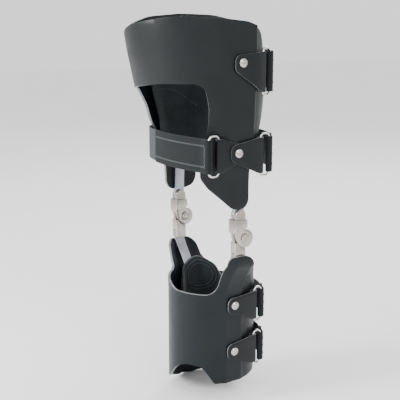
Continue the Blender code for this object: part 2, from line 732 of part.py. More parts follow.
def tab(name, section, data, direction, parent):
    """A tab that wraps round the loop's near bar and comes back under itself."""
    path, heading = tab_path(section, data, direction)
    inwards = Vector((-heading.y, heading.x)) * direction
    bend = LOOP_WIRE + BAR_GAP + TAB_THICK / 2
    bar = path[-1] + inwards * bend
    fold = turn_round(bar, path[-1], bend, 180 * direction, 6)
    full = path + fold + [fold[-1] - heading * 3.5]
    flat_end = lengths(path)[-1]
    end = lengths(full)[-1] - 0.2
    rise = data["rivet"] - data["loop"]
    half = data["width"] / 2 - 1.5
    outline = rounded([
        (0.2, rise - TAB_NOSE, 8), (0.2, rise + TAB_NOSE, 8), (flat_end - 4, half, 6), (end, half, 0),
        (end, -half, 0), (flat_end - 4, -half, 6),
    ], 22)
    hole = circle(TAB_NOSE + 1, rise, 2.4, 10)

    def place(x, y, depth):
        point, normal = along_path(full, x)
        shifted = point + normal * (depth - TAB_THICK / 2)
        return Vector((shifted.x, shifted.y, data["loop"] + y))

    bm = panel(outline, (hole,), TAB_THICK, place, lengths(full)[1:-1], ())
    node(name, bm, "leather", parent)
    return bar, heading


def wire_loop(name, bar, heading, data, parent):
    """A rounded rectangle of wire; its near bar sits in the tab's fold."""
    half = data["width"] / 2 + 2.2
    corners = rounded([(0, -half, 5), (0, half, 5), (data["span"], half, 5), (data["span"], -half, 5)], 30)
    curve = bpy.data.curves.new(name, "CURVE")
    curve.dimensions = "3D"
    curve.bevel_depth = LOOP_WIRE * MM
    curve.bevel_resolution = 1
    curve.fill_mode = "FULL"
    spline = curve.splines.new("POLY")
    spline.points.add(len(corners) - 1)
    spline.use_cyclic_u = True
    for point, (along, up) in zip(spline.points, corners):
        place = bar + heading * along
        point.co = (place.x * MM, place.y * MM, (data["loop"] + up) * MM, 1)
    curve.materials.append(finish("nickel"))
    made = bpy.data.objects.new(name, curve)
    bpy.context.collection.objects.link(made)
    made.parent = parent
    return bar + heading * data["span"]


def doubled_end(bar, run, turn, lap_length):
    """Takes a strap path round a loop bar and back over itself; turn is 1 to the left, -1 right."""
    bend = LOOP_WIRE + 0.4 + WEB_THICK / 2
    towards = run[-1] - bar
    swing = turn * math.acos(bend / towards.length)
    touch = bar + Matrix.Rotation(swing, 2) @ (towards.normalized() * bend)
    fold = turn_round(bar, touch, bend, 180 * turn, 6)
    back = list(reversed([*run, touch]))
    count = max(5, round(lap_length / 9))
    lap = []
    for k in range(1, count + 1):
        distance = lap_length * k / count
        point, normal = along_path(back, distance)
        gap = WEB_THICK + 0.5 + (2 * bend - WEB_THICK - 0.5) * fade(distance, 1, 16)
        lap.append(point - normal * turn * gap)
    return [*run, touch] + fold + lap


def round_bar(section, height, far_bar):
    """The angle of a loop bar about the shell, and how far off the surface it stands."""
    width, depth = smooth(section.width, height), smooth(section.depth, height)
    away = far_bar - Vector((0, smooth(section.centre, height)))
    angle = math.degrees(math.atan2(away.x / width, -away.y / depth))
    return angle, (math.hypot(away.x / width, away.y / depth) - 1) * (width + depth) / 2


def rear_strap(name, section, data, bar_y, medial_height, far_bar, parent):
    """From the rivet on the inner side, round the back, through the loop and back on itself."""
    height = data["loop"]
    bar_angle, stand_off = round_bar(section, height, far_bar)
    inner = LOOP_WIRE + WEB_THICK
    anchor = 360 - section.angle_at(bar_y, medial_height)

    def away(angle):
        near = fade(angle, bar_angle + 5, 215)
        return (data["rest"] + WEB_THICK / 2) * (1 - near) + (stand_off - inner) * near

    run = plan_path(section, height, anchor + 8, anchor - 24, away, 5)
    run += plan_path(section, height, anchor - 30, bar_angle + 9, away, 9)
    path = doubled_end(far_bar, run, 1, data["lap"])
    half = data["width"] / 2 - 1.7
    made = node(name, ribbon(path, height - half, height + half, WEB_THICK), "webbing", parent)
    cut(made, rivet_cutter(name + "_cutter", -1, bar_y, medial_height, 2.4))
    return made


def rear_set(label, section, bar_y, medial_height, parent):
    data = STRAP_SETS[label]
    bar, heading = tab(label + "_tab", section, data, 1, parent)
    far_bar = wire_loop(label + "_loop", bar, heading, data, parent)
    rear_strap(label + "_strap", section, data, bar_y, medial_height, far_bar, parent)


def front_set(parent):
    """The tab points forward; the strap crosses the open front to the inner side."""
    bar, heading = tab("thigh_front_tab", THIGH, FRONT_SET, -1, parent)
    far_bar = wire_loop("thigh_front_loop", bar, heading, FRONT_SET, parent)
    front_strap(far_bar, parent)


def front_strap(far_bar, parent):
    """Anchored at the inner rivet, bent over the shell's inner front edge, then across the front."""
    height = FRONT_SET["loop"]
    anchor = -THIGH.angle_at(UPPER_BAR_Y, MEDIAL_RIVETS["lower_thigh"])

    def away(angle):
        return FRONT_STRAP_LIFT + WEB_THICK / 2 - 3.2 * fade(-angle, 58, 80)

    run = plan_path(THIGH, height, anchor - 8, -62, away, 6)
    bend = LOOP_WIRE + BAR_GAP + WEB_THICK / 2
    start, heading = run[-1], (run[-1] - run[-2]).normalized()
    end = far_bar + Vector((-0.35, 0.94)) * (bend + 0.4)
    top = Vector((4, -FRONT_STRAP_BULGE))
    for first, last, lead, trail in (
        (start, top, heading * 42, Vector((70, 0))), (top, end, Vector((70, 0)), Vector((44, 16))),
    ):
        steps = 7
        for k in range(1, steps + 1):
            t = k / steps
            run.append(
                first * (2 * t ** 3 - 3 * t ** 2 + 1) + lead * (t ** 3 - 2 * t ** 2 + t)
                + last * (3 * t ** 2 - 2 * t ** 3) + trail * (t ** 3 - t ** 2)
            )
    path = doubled_end(far_bar, run, -1, FRONT_SET["lap"])
    made = node("thigh_front_strap", ribbon(path, height - 19, height + 19, WEB_THICK), "webbing", parent)
    cut(made, rivet_cutter("front_strap_cutter", -1, UPPER_BAR_Y, MEDIAL_RIVETS["lower_thigh"], 2.4))
    return made


def rivets(thigh, shank):
    """On the outer side they hold the tabs; on the inner side the strap ends and the bars."""
    for key, section, parent in (
        ("thigh_upper", THIGH, thigh), ("thigh_rear_lower", THIGH, thigh),
        ("calf_upper", CALF, shank), ("calf_lower", CALF, shank),
    ):
        data = STRAP_SETS[key]
        bar = BAR_THICK + BAR_GAP if section is CALF else 0.6
        under_head = data["lift"] + TAB_THICK
        rivet(
            f"{key}_tab_rivet", section, 1, data["rivet_y"], data["rivet"], under_head, bar, parent
        )
    for key, section, y, lift, parent in (
        ("upper_thigh", THIGH, UPPER_BAR_Y, 2.6, thigh),
        ("lower_thigh", THIGH, UPPER_BAR_Y, FRONT_STRAP_LIFT, thigh),
        ("upper_calf", CALF, LOWER_BAR_Y, 1.4, shank), ("lower_calf", CALF, LOWER_BAR_Y, 1.0, shank),
    ):
        name = f"medial_{key}_rivet"
        rivet(name, section, -1, y, MEDIAL_RIVETS[key], lift + WEB_THICK, BAR_THICK + BAR_GAP, parent)


# ---------------------------------------------------------------- assembly

def pivot_empty(name, location=(0, 0, 0)):
    empty = bpy.data.objects.new(name, None)
    empty.location = location
    bpy.context.collection.objects.link(empty)
    return empty


def main():
    clear_scene()
    thigh = pivot_empty("thigh_frame")
    shank = pivot_empty("knee_axis")
    thigh_shell(thigh)
    thigh_liner(thigh)
    calf_shell(shank)
    calf_liner(shank)
    for side, label in ((1, "lateral"), (-1, "medial")):
        upper_upright(side, label, thigh)
        cheek(side, label, 1, thigh)
        cheek(side, label, -1, thigh)
        pivot_screw(side, label, thigh)
        pivot_nut(side, label, thigh)
        lock_ring(side, label, thigh)
        lower_joint_bar(side, label, shank)
        pivot_bushing(side, label, shank)
        lower_upright(side, label, shank)
    rear_set("thigh_upper", THIGH, UPPER_BAR_Y, MEDIAL_RIVETS["upper_thigh"], thigh)
    rear_set("thigh_rear_lower", THIGH, UPPER_BAR_Y, MEDIAL_RIVETS["lower_thigh"], thigh)
    rear_set("calf_upper", CALF, LOWER_BAR_Y, MEDIAL_RIVETS["upper_calf"], shank)
    rear_set("calf_lower", CALF, LOWER_BAR_Y, MEDIAL_RIVETS["lower_calf"], shank)
    front_set(thigh)
    rivets(thigh, shank)


main()
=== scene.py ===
# %% [markdown]
# # A knee orthosis with ring locks
#
# This lesson dresses a brace for the leg in Blender. The brace has a moulded thigh shell and a
# moulded calf shell, each with a soft lining. Steel bars run down both sides and meet in a knee
# joint with a sliding lock ring. Tapes close the shells behind, and one crosses the front.
#
# The mechanical frame comes first and is never changed: it fixes every size. Everything that
# is made here is laid on it, in metres, with the origin in the middle of the knee axis.
# +Z is up the leg, -Y is the front of the leg and +X is its outer side.

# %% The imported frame
import json
import math

import bmesh
import bpy
from mathutils import Matrix, Vector

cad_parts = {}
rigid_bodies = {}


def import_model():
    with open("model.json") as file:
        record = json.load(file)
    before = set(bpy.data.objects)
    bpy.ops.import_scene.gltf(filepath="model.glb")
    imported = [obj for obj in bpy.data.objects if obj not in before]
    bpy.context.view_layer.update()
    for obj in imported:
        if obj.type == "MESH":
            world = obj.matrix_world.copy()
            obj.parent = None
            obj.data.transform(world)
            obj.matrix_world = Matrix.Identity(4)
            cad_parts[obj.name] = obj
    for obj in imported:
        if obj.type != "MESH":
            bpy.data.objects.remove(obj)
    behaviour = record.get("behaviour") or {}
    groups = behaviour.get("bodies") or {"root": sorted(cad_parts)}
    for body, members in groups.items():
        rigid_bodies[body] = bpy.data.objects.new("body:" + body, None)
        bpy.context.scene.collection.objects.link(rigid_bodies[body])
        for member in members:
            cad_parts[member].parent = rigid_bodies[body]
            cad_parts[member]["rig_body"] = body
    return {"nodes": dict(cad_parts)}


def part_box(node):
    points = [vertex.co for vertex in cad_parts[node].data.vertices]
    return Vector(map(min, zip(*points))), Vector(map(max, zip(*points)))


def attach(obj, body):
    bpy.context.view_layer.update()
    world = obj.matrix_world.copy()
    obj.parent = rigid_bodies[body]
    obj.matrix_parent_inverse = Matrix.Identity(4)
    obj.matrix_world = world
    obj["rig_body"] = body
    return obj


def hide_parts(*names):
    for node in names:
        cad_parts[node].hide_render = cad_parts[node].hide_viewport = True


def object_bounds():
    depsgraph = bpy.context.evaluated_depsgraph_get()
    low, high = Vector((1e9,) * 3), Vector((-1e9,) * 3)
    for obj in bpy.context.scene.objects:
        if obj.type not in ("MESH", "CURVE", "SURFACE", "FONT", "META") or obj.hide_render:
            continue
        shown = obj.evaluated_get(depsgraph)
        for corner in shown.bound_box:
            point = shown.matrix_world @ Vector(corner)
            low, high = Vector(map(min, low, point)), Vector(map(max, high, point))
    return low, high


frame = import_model()
cad_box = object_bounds()
print("nodes:", len(frame["nodes"]))

# %% [markdown]
# ## The camera
#
# A long lens a little over a metre away keeps both ends of the brace near their true
# proportions, which a short lens close by would not. The camera stands between the front and
# the outer side of the leg, as high as the thigh shell's rim, and looks down by twelve degrees.

# %% Camera
eye = bpy.data.objects.new("eye", bpy.data.cameras.new("eye"))
bpy.context.scene.collection.objects.link(eye)
eye.location = (0.8890, -0.5591, 0.2548)
eye.rotation_euler = (math.radians(90 - 11.97), 0, math.radians(58.58))
eye.data.lens = 79.2
eye.data.sensor_width = 36
bpy.context.scene.camera = eye
print("camera", tuple(round(v, 3) for v in eye.location), "lens", eye.data.lens)

# %% [markdown]
# ## The shape of the two shells
#
# A shell like this is drawn flat, cut out of a sheet, and moulded over a cast of the leg. The
# same is done here. A section says, for each height, where the moulded surface runs round the
# leg: nearly an ellipse, with a flat channel on each side for the steel bar. Heights and
# widths are given in millimetres, because that is how such a brace is measured.

# %% Sections of the shells
MM = 0.001
WALL = 3.2
UPPER_BAR_Y = -3
LOWER_BAR_Y = -2


def smooth(table, at):
    """The value of a (position, value) table, on a curve with no corners."""
    if at <= table[0][0]:
        return table[0][1]
    if at >= table[-1][0]:
        return table[-1][1]
    index = max(i for i, point in enumerate(table[:-1]) if point[0] <= at)

    def slope(i):
        if i == 0 or i == len(table) - 1:
            return 0.0
        before = (table[i][1] - table[i - 1][1]) / (table[i][0] - table[i - 1][0])
        after = (table[i + 1][1] - table[i][1]) / (table[i + 1][0] - table[i][0])
        return 0.0 if before * after <= 0 else 2 * before * after / (before + after)

    low, high = table[index], table[index + 1]
    length = high[0] - low[0]
    t = (at - low[0]) / length
    bend = (t ** 3 - 2 * t ** 2 + t) * slope(index) + (t ** 3 - t ** 2) * slope(index + 1)
    return low[1] + (high[1] - low[1]) * (3 * t * t - 2 * t ** 3) + length * bend


def fade(value, start, end):
    """1 up to start, 0 from end, smooth between."""
    t = min(max((value - start) / (end - start), 0), 1)
    return 1 - t * t * (3 - 2 * t)


class Section:
    """The horizontal outline of a shell at each height.

    width, depth and centre are tables of half width, half depth and middle y by height. The
    channel is flat out to flat mm from channel_y and has gone at edge mm.
    """

    def __init__(self, width, depth, centre, channel_y, flat, edge):
        self.width, self.depth, self.centre = width, depth, centre
        self.channel_y, self.flat, self.edge = channel_y, flat, edge

    def point(self, angle, height, offset=0.0):
        """Angle 0 is the front, 90 the outer side, 180 the back."""
        turn = math.radians(angle)
        side = smooth(self.width, height) + offset
        x = side * math.sin(turn)
        y = smooth(self.centre, height) - (smooth(self.depth, height) + offset) * math.cos(turn)
        if abs(math.sin(turn)) > 0.7:
            raised = fade(abs(y - self.channel_y), self.flat, self.edge)
            x += raised * (math.copysign(side, x) - x)
        return Vector((x, y, height))

    def angle_at(self, y, height):
        forward = smooth(self.centre, height) - y
        return math.degrees(math.acos(forward / smooth(self.depth, height)))


THIGH = Section(
    ((30, 73.7), (60, 74.0), (90, 76.5), (120, 79), (170, 81.5), (256, 84)),
    ((30, 64), (118, 64), (170, 73.6), (256, 80.9)),
    ((30, -10), (118, -12), (170, -17.8), (256, -25.2)),
    UPPER_BAR_Y, 9.5, 14.5,
)
CALF = Section(
    ((-205, 53.7), (-78, 53.7), (-64, 56.2), (-52, 61.9), (-40, 70.5), (-30, 77.8), (-15, 78)),
    ((-205, 53), (-15, 53)),
    ((-205, 0), (-15, 0)),
    LOWER_BAR_Y, 10, 15.5,
)
# The radius that turns an angle round the leg into a length on the flat pattern.
THIGH_GIRTH, CALF_GIRTH = 75, 53
rim_width, calf_width = 2 * smooth(THIGH.width, 250), 2 * smooth(CALF.width, -120)
print("thigh rim", round(rim_width), "mm wide; calf", round(calf_width), "mm wide")

# %% [markdown]
# ## Finishes
#
# Every finish is a small node tree on one Principled shader. The patterns read Object
# coordinates, so they stay on the piece when it moves. Tapes read the piece's own flat
# pattern instead, which is kept as a UV map in centimetres, so that their weave runs along them.
# A number that is the same all over the surface goes straight onto the shader's socket.

# %% Helpers for finishes
def new_finish(name, metallic=0.0, roughness=0.5, specular=0.5):
    made = bpy.data.materials.new(name)
    made.use_nodes = True
    shader = made.node_tree.nodes["Principled BSDF"]
    shader.inputs["Metallic"].default_value = metallic
    shader.inputs["Roughness"].default_value = roughness
    shader.inputs["Specular IOR Level"].default_value = specular
    return made, made.node_tree, shader


def add(tree, kind, **values):
    node = tree.nodes.new(kind)
    for key, value in values.items():
        if key in node.inputs:
            node.inputs[key].default_value = value
        else:
            setattr(node, key, value)
    return node


def coordinates(tree, source="Object", scale=(1, 1, 1)):
    place = add(tree, "ShaderNodeTexCoord")
    mapping = add(tree, "ShaderNodeMapping", Scale=scale)
    tree.links.new(place.outputs[source], mapping.inputs["Vector"])
    return mapping.outputs["Vector"]


def noise(tree, where, scale, detail=3.0, roughness=0.5):
    node = add(tree, "ShaderNodeTexNoise", Scale=scale, Detail=detail, Roughness=roughness)
    tree.links.new(where, node.inputs["Vector"])
    return node.outputs["Fac"]


def ramp(tree, value, stops):
    node = add(tree, "ShaderNodeValToRGB")
    elements = node.color_ramp.elements
    while len(elements) < len(stops):
        elements.new(0.5)
    for element, (position, colour) in zip(elements, stops):
        element.position = position
        element.color = (*colour, 1)
    tree.links.new(value, node.inputs["Fac"])
    return node.outputs["Color"]


def spread(tree, value, low, high):
    """Stretches a noise, which seldom leaves 0.25 to 0.75, over low to high."""
    node = add(tree, "ShaderNodeMapRange")
    node.inputs["From Min"].default_value = 0.25
    node.inputs["From Max"].default_value = 0.75
    node.inputs["To Min"].default_value = low
    node.inputs["To Max"].default_value = high
    tree.links.new(value, node.inputs["Value"])
    return node.outputs["Result"]


def mottle(tree, shader, pattern, dark, light, low=0.3, high=0.7):
    """Colours the shader by a pattern, dark up to low and light from high."""
    tree.links.new(ramp(tree, pattern, ((low, dark), (high, light))), shader.inputs["Base Color"])


def gloss(tree, shader, pattern, low, high):
    tree.links.new(spread(tree, pattern, low, high), shader.inputs["Roughness"])


def bump(tree, shader, heights):
    """Stacks several (height, strength, distance) patterns on the shader's normal."""
    normal = None
    for height, strength, distance in heights:
        node = add(tree, "ShaderNodeBump", Strength=strength, Distance=distance)
        tree.links.new(height, node.inputs["Height"])
        if normal:
            tree.links.new(normal, node.inputs["Normal"])
        normal = node.outputs["Normal"]
    tree.links.new(normal, shader.inputs["Normal"])


print("materials before the first finish:", len(bpy.data.materials))

# %% [markdown]
# ### Moulded shell and its cut edge
#
# The shells are leather moulded over a stiff core and sealed with a satin dressing. The grain
# is fine and shallow, and the dressing makes soft cloudy patches of more and less gloss. The cut
# edge is a much paler grey: partly the core's own colour under a burnished coat, partly a painted
# highlight for the light that the rim catches. An image of leather would repeat itself on a piece
# this large, so noise makes the clouds and Voronoi cells make the grain.

# %% Shell finishes
def shell_finish(name, dark, light, roughness):
    made, tree, shader = new_finish(name, roughness=roughness, specular=0.24)
    where = coordinates(tree)
    mottle(tree, shader, noise(tree, where, 22, 4), dark, light)
    gloss(tree, shader, noise(tree, where, 60, 5), roughness - 0.05, roughness + 0.07)
    cells = add(tree, "ShaderNodeTexVoronoi", Scale=1150.0)
    tree.links.new(where, cells.inputs["Vector"])
    bump(tree, shader, (
        (cells.outputs["Distance"], 0.10, 0.0003),
        (noise(tree, where, 420, 3), 0.08, 0.0004),
    ))
    return made


# A rim's mid grey, far paler than its face, is partly its own core and partly a painted highlight for
# the light that the rim catches.
def edge_and_highlight_finish(name, dark, light):
    made, tree, shader = new_finish(name, roughness=0.42)
    mottle(tree, shader, noise(tree, coordinates(tree), 180, 4), dark, light)
    streaks = noise(tree, coordinates(tree, scale=(1, 1, 6)), 500, 2)
    bump(tree, shader, ((streaks, 0.25, 0.0003),))
    return made


shell_thigh = shell_finish(
    "moulded_shell_thigh", (0.0040, 0.0058, 0.0066), (0.0065, 0.0088, 0.0100), 0.42
)
shell_calf = shell_finish(
    "moulded_shell_calf", (0.0034, 0.0057, 0.0074), (0.0055, 0.0088, 0.0112), 0.40
)
# The shells' cut edges: pale grey, partly the core's own colour and partly a painted highlight.
shell_edge_and_highlight = edge_and_highlight_finish("shell_cut_edge_and_highlight", (0.10, 0.105, 0.11), (0.22, 0.225, 0.23))
tab_leather = shell_finish("tab_leather", (0.0032, 0.0046, 0.0056), (0.0055, 0.0074, 0.0088), 0.38)
# The tabs' cut edges: pale grey, partly the core's own colour and partly a painted highlight.
tab_edge_and_highlight = edge_and_highlight_finish("tab_cut_edge_and_highlight", (0.07, 0.073, 0.075), (0.16, 0.16, 0.16))
print("materials after the shell finishes:", len(bpy.data.materials))

# %% [markdown]
# ### Soft lining, pads, tapes and thread
#
# The lining is a brushed knit over foam: matt, with a little sheen on slanting light and a
# fine loop. The tapes are plain woven. Modelling each yarn would take millions of faces, so
# two crossed waves make the weave as bump. The front tape is a hook-and-loop one, with a
# paler, fuzzy loop side. Its stitching is a dull grey thread. All other thread is darker.

# %% Cloth finishes
def knit_finish(name, dark, light, sheen):
    made, tree, shader = new_finish(name, roughness=0.95, specular=0.2)
    shader.inputs["Sheen Weight"].default_value = sheen
    shader.inputs["Sheen Roughness"].default_value = 0.5
    where = coordinates(tree)
    mottle(tree, shader, noise(tree, where, 70, 6, 0.7), dark, light)
    loops = add(tree, "ShaderNodeTexVoronoi", Scale=900.0)
    tree.links.new(where, loops.inputs["Vector"])
    bump(tree, shader, (
        (loops.outputs["Distance"], 0.35, 0.0006),
        (noise(tree, where, 140, 3), 0.2, 0.001),
    ))
    return made


def woven_finish(name, dark, light, fuzz):
    made, tree, shader = new_finish(name, roughness=0.85, specular=0.15)
    shader.inputs["Sheen Weight"].default_value = 0.06
    where = coordinates(tree, "UV")
    warp = add(tree, "ShaderNodeTexWave", bands_direction="Y", Scale=3.2, Distortion=0.4)
    weft = add(tree, "ShaderNodeTexWave", bands_direction="X", Scale=2.6, Distortion=0.6)
    both = add(tree, "ShaderNodeMath", operation="MULTIPLY")
    for wave, socket in ((warp, 0), (weft, 1)):
        tree.links.new(where, wave.inputs["Vector"])
        tree.links.new(wave.outputs["Fac"], both.inputs[socket])
    hairs = noise(tree, where, 26, 6, 0.75)
    mixed = add(tree, "ShaderNodeMath", operation="ADD")
    tree.links.new(both.outputs[0], mixed.inputs[0])
    tree.links.new(hairs, mixed.inputs[1])
    mottle(tree, shader, mixed.outputs[0], dark, light, 0.35, 1.0)
    bump(tree, shader, ((both.outputs[0], 0.6, 0.0004), (hairs, fuzz, 0.0007)))
    return made


lining_knit = knit_finish("lining_knit", (0.009, 0.012, 0.014), (0.017, 0.022, 0.025), 0.2)
pad_knit = knit_finish("pad_knit", (0.008, 0.011, 0.013), (0.015, 0.020, 0.023), 0.3)
tape_woven = woven_finish("tape_woven", (0.0055, 0.0070, 0.0080), (0.016, 0.019, 0.021), 0.3)
tape_hook = woven_finish("tape_hook", (0.0040, 0.0055, 0.0062), (0.013, 0.0165, 0.018), 0.8)
tape_loop = woven_finish("tape_loop_pile", (0.036, 0.042, 0.047), (0.070, 0.080, 0.087), 0.9)
thread_grey = knit_finish("thread_grey", (0.10, 0.11, 0.12), (0.20, 0.21, 0.22), 0.1)
thread_dark = knit_finish("thread_dark", (0.030, 0.034, 0.037), (0.055, 0.062, 0.066), 0.1)
print("materials after the cloth finishes:", len(bpy.data.materials))

# %% [markdown]
# ### Metals
#
# The bars are drawn steel with fine lines along their length, made by noise that is stretched
# along Z. The joints are nickel plated and a little warm, with rubbed patches. The rivets are
# polished. One function makes them all, so that they differ only in colour, gloss and scratches.

# %% Metal finishes
def metal_finish(name, dark, light, roughness, lines, scratch):
    made, tree, shader = new_finish(name, metallic=1.0, roughness=roughness)
    mottle(tree, shader, noise(tree, coordinates(tree), 55, 5), dark, light)
    rubbed = noise(tree, coordinates(tree, scale=lines), 120, 4, 0.6)
    gloss(tree, shader, rubbed, roughness - 0.08, roughness + 0.12)
    bump(tree, shader, ((rubbed, scratch, 0.0003),))
    return made


bar_steel = metal_finish("bar_steel", (0.27, 0.28, 0.32), (0.40, 0.41, 0.46), 0.32, (6, 6, 0.25), 0.12)
nickel = metal_finish("nickel_plate", (0.34, 0.31, 0.285), (0.52, 0.48, 0.445), 0.22, (3, 3, 1), 0.10)
wire_steel = metal_finish("wire_steel", (0.60, 0.59, 0.58), (0.78, 0.77, 0.76), 0.18, (2, 2, 2), 0.05)
rivet_steel = metal_finish("rivet_steel", (0.40, 0.385, 0.36), (0.60, 0.58, 0.55), 0.18, (2, 2, 2), 0.06)
bush_brass = metal_finish("bush_brass", (0.45, 0.32, 0.14), (0.60, 0.45, 0.20), 0.30, (2, 2, 2), 0.08)
print("materials after the metals:", len(bpy.data.materials))

# %% [markdown]
# ## Cutting and moulding a flat pattern
#
# The shells, linings, tabs and tapes all begin as one flat face, as they do in a workshop. The
# outline has rounded corners. The face is divided by straight cuts, so that it can bend,
# and given its thickness; its rim is bevelled; then every point is carried to its bent place.
# Sculpting the bent shape directly would lose the even wall and the clean cut edge.

# %% Pattern tools
def rounded(corners, step=9):
    """Points of a closed outline whose (x, y, radius) corners are rounded by arcs."""
    points = []
    for i, (x, y, radius) in enumerate(corners):
        here = Vector((x, y))
        before = Vector(corners[i - 1][:2]) - here
        after = Vector(corners[(i + 1) % len(corners)][:2]) - here
        bend = math.pi - before.angle(after)
        if radius <= 0 or bend < 0.02:
            points.append(here)
            continue
        reach = radius * math.tan(bend / 2)
        longest = 0.499 * min(before.length, after.length)
        if reach > longest:
            radius *= longest / reach
            reach = longest
        before, after = before.normalized(), after.normalized()
        start, end = here + before * reach, here + after * reach
        aim = (before + after).normalized()
        middle = here + aim * (radius / math.cos(bend / 2))
        pieces = max(1, round(math.degrees(bend) / step))
        turn = (start - middle).angle_signed(end - middle)
        for k in range(pieces + 1):
            points.append(middle + Matrix.Rotation(-turn * k / pieces, 2) @ (start - middle))
    return points


def every(low, high, step):
    """Even places between two ends, about a step apart, without the ends."""
    count = max(1, round((high - low) / step))
    return [low + (high - low) * k / count for k in range(1, count)]


def divide(bm, axis, places):
    normal = Vector((0, 0, 0))
    normal[axis] = 1
    for place in places:
        whole = bm.verts[:] + bm.edges[:] + bm.faces[:]
        bmesh.ops.bisect_plane(bm, geom=whole, dist=0.01, plane_co=normal * place, plane_no=normal)


def as_mesh(name, bm):
    """Turns a bmesh in millimetres into a mesh in metres."""
    bmesh.ops.scale(bm, vec=(MM, MM, MM), verts=bm.verts)
    mesh = bpy.data.meshes.new(name)
    bm.to_mesh(mesh)
    bm.free()
    return mesh


def as_piece(name, mesh, materials, body):
    """Makes a mesh a smooth piece at the origin that rides on a body."""
    for material in materials:
        mesh.materials.append(material)
    mesh.polygons.foreach_set("use_smooth", [True] * len(mesh.polygons))
    made = bpy.data.objects.new(name, mesh)
    bpy.context.scene.collection.objects.link(made)
    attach(made, body)
    print(name, "faces", len(mesh.polygons))
    return made


def stand_for(node):
    """Hides the CAD node that a piece stands in for."""
    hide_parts(node)


def break_edges(bm, edges, width):
    bmesh.ops.bevel(
        bm, geom=edges, offset=width, offset_type="OFFSET", segments=2, profile=0.5,
        affect="EDGES", material=-1, clamp_overlap=True,
    )


def moulded(name, outline, thickness, bend, across, up, materials, body, edge=0.7, pick=None):
    """bend(x, y, depth) carries a point of the flat pattern to its place.

    Material 0 is the face and 1 the rim; pick(x, y, on_top) may choose another for a face.
    """
    bm = bmesh.new()
    bm.faces.new([bm.verts.new((*point, 0)) for point in outline])
    divide(bm, 0, across)
    divide(bm, 1, up)
    made = bmesh.ops.extrude_face_region(bm, geom=bm.faces[:])
    top = [part for part in made["geom"] if isinstance(part, bmesh.types.BMVert)]
    bmesh.ops.translate(bm, verts=top, vec=(0, 0, thickness))
    bmesh.ops.recalc_face_normals(bm, faces=bm.faces)
    bm.normal_update()
    rim = []
    for border in bm.edges:
        flat_faces = [abs(face.normal.z) > 0.5 for face in border.link_faces]
        if len(flat_faces) == 2 and flat_faces[0] != flat_faces[1]:
            rim.append(border)
    break_edges(bm, rim, edge)
    bm.normal_update()
    flat_map = bm.loops.layers.uv.new("flat")
    for face in bm.faces:
        face.material_index = 0 if abs(face.normal.z) > 0.9 else 1
        if pick and abs(face.normal.z) > 0.5:
            middle = face.calc_center_median()
            face.material_index = pick(middle.x, middle.y, middle.z > thickness / 2)
        for loop in face.loops:
            loop[flat_map].uv = (loop.vert.co.x / 10, loop.vert.co.y / 10)
    for vert in bm.verts:
        vert.co = bend(*vert.co)
    bmesh.ops.recalc_face_normals(bm, faces=bm.faces)
    return as_piece(name, as_mesh(name, bm), materials, body)


square = [(0, 0, 2), (10, 0, 2), (10, 10, 2), (0, 10, 2)]
print("a square with rounded corners has", len(rounded(square)), "points")

# %% [markdown]
# ## The two shells
#
# Corners are given as (angle, height, radius) round the leg. The thigh shell has a band that
# rises over the front, a window under it, and a lobe down each side that hides the top of a
# knee joint. The calf shell is closed in front, dips in a U below the knee and is arched at
# its lower front edge. The cuts lie closer together where the channels bend the pattern most.

# %% Shells
def shell(name, section, girth, corners, material, body, node):
    outline = rounded([(math.radians(a) * girth, z, r) for a, z, r in corners])

    def bend(x, y, depth):
        return section.point(math.degrees(x / girth), y, depth - WALL)

    # Angles of the upright cuts: every 1.25 degrees across a channel, every 3 elsewhere.
    fine = [side * k * 1.25 for side in (-1, 1) for k in range(62, 92)]
    coarse = [k * 3 for k in range(-59, 60) if not 76 < abs(k * 3) < 116]
    low, high = min(p.x for p in outline), max(p.x for p in outline)
    columns = [math.radians(a) * girth for a in sorted(fine + coarse)]
    columns = [x for x in columns if low < x < high]
    rows = every(min(p.y for p in outline), max(p.y for p in outline), 6)
    made = moulded(name, outline, WALL, bend, columns, rows, (material, shell_edge_and_highlight), body, edge=0.9)
    stand_for(node)


thigh_corners = [
    (-163, 246, 10), (-140, 253, 40), (-112, 254.8, 40), (-80, 251.5, 40), (-56, 243.5, 30),
    (-34, 230, 20), (-17, 237, 25), (0, 243.5, 30), (44, 252.3, 50), (75, 250.8, 50),
    (104, 246.5, 25), (126, 236, 22), (134, 210, 30), (153, 198, 20), (153, 175, 25),
    (128, 132, 40), (103, 92, 25), (103, 35.5, 14), (84, 35.5, 15), (58, 61, 15), (50, 73, 12),
    (51, 88, 15), (56, 118, 40), (62.5, 152, 15), (62.5, 180, 25), (22, 178.5, 40),
    (-44, 167.3, 12), (-53.5, 148, 20), (-54.5, 128, 12), (-66, 112, 12), (-70, 88, 25), (-77, 66, 15),
    (-77, 35.5, 17), (-116, 35.5, 22), (-116, 74, 20), (-128, 112, 40), (-163, 168, 30),
]
calf_corners = [
    (-60, -62, 10), (-25, -66, 25), (0, -72.5, 30), (66, -72.5, 15), (64, -38, 12),
    (68, -19.6, 15), (96, -19.6, 15), (106, -36, 20), (122, -54, 20), (148, -78, 20),
    (148, -180, 14), (110, -182.5, 20), (62.5, -184.5, 3), (50.5, -169, 6), (44, -163.5, 8),
    (22, -161.5, 30), (2, -172, 15), (-18, -190, 8), (-40, -198, 20), (-62, -206, 30),
    (-92, -209.5, 40), (-148, -202, 14), (-148, -84, 20), (-124, -66, 20), (-112, -52, 10),
    (-110, -31, 16), (-66, -31, 16), (-59, -50, 10),
]
shell(
    "thigh_moulded_shell", THIGH, THIGH_GIRTH, thigh_corners, shell_thigh, "thigh", "thigh_shell"
)
shell("calf_moulded_shell", CALF, CALF_GIRTH, calf_corners, shell_calf, "shank", "calf_shell")

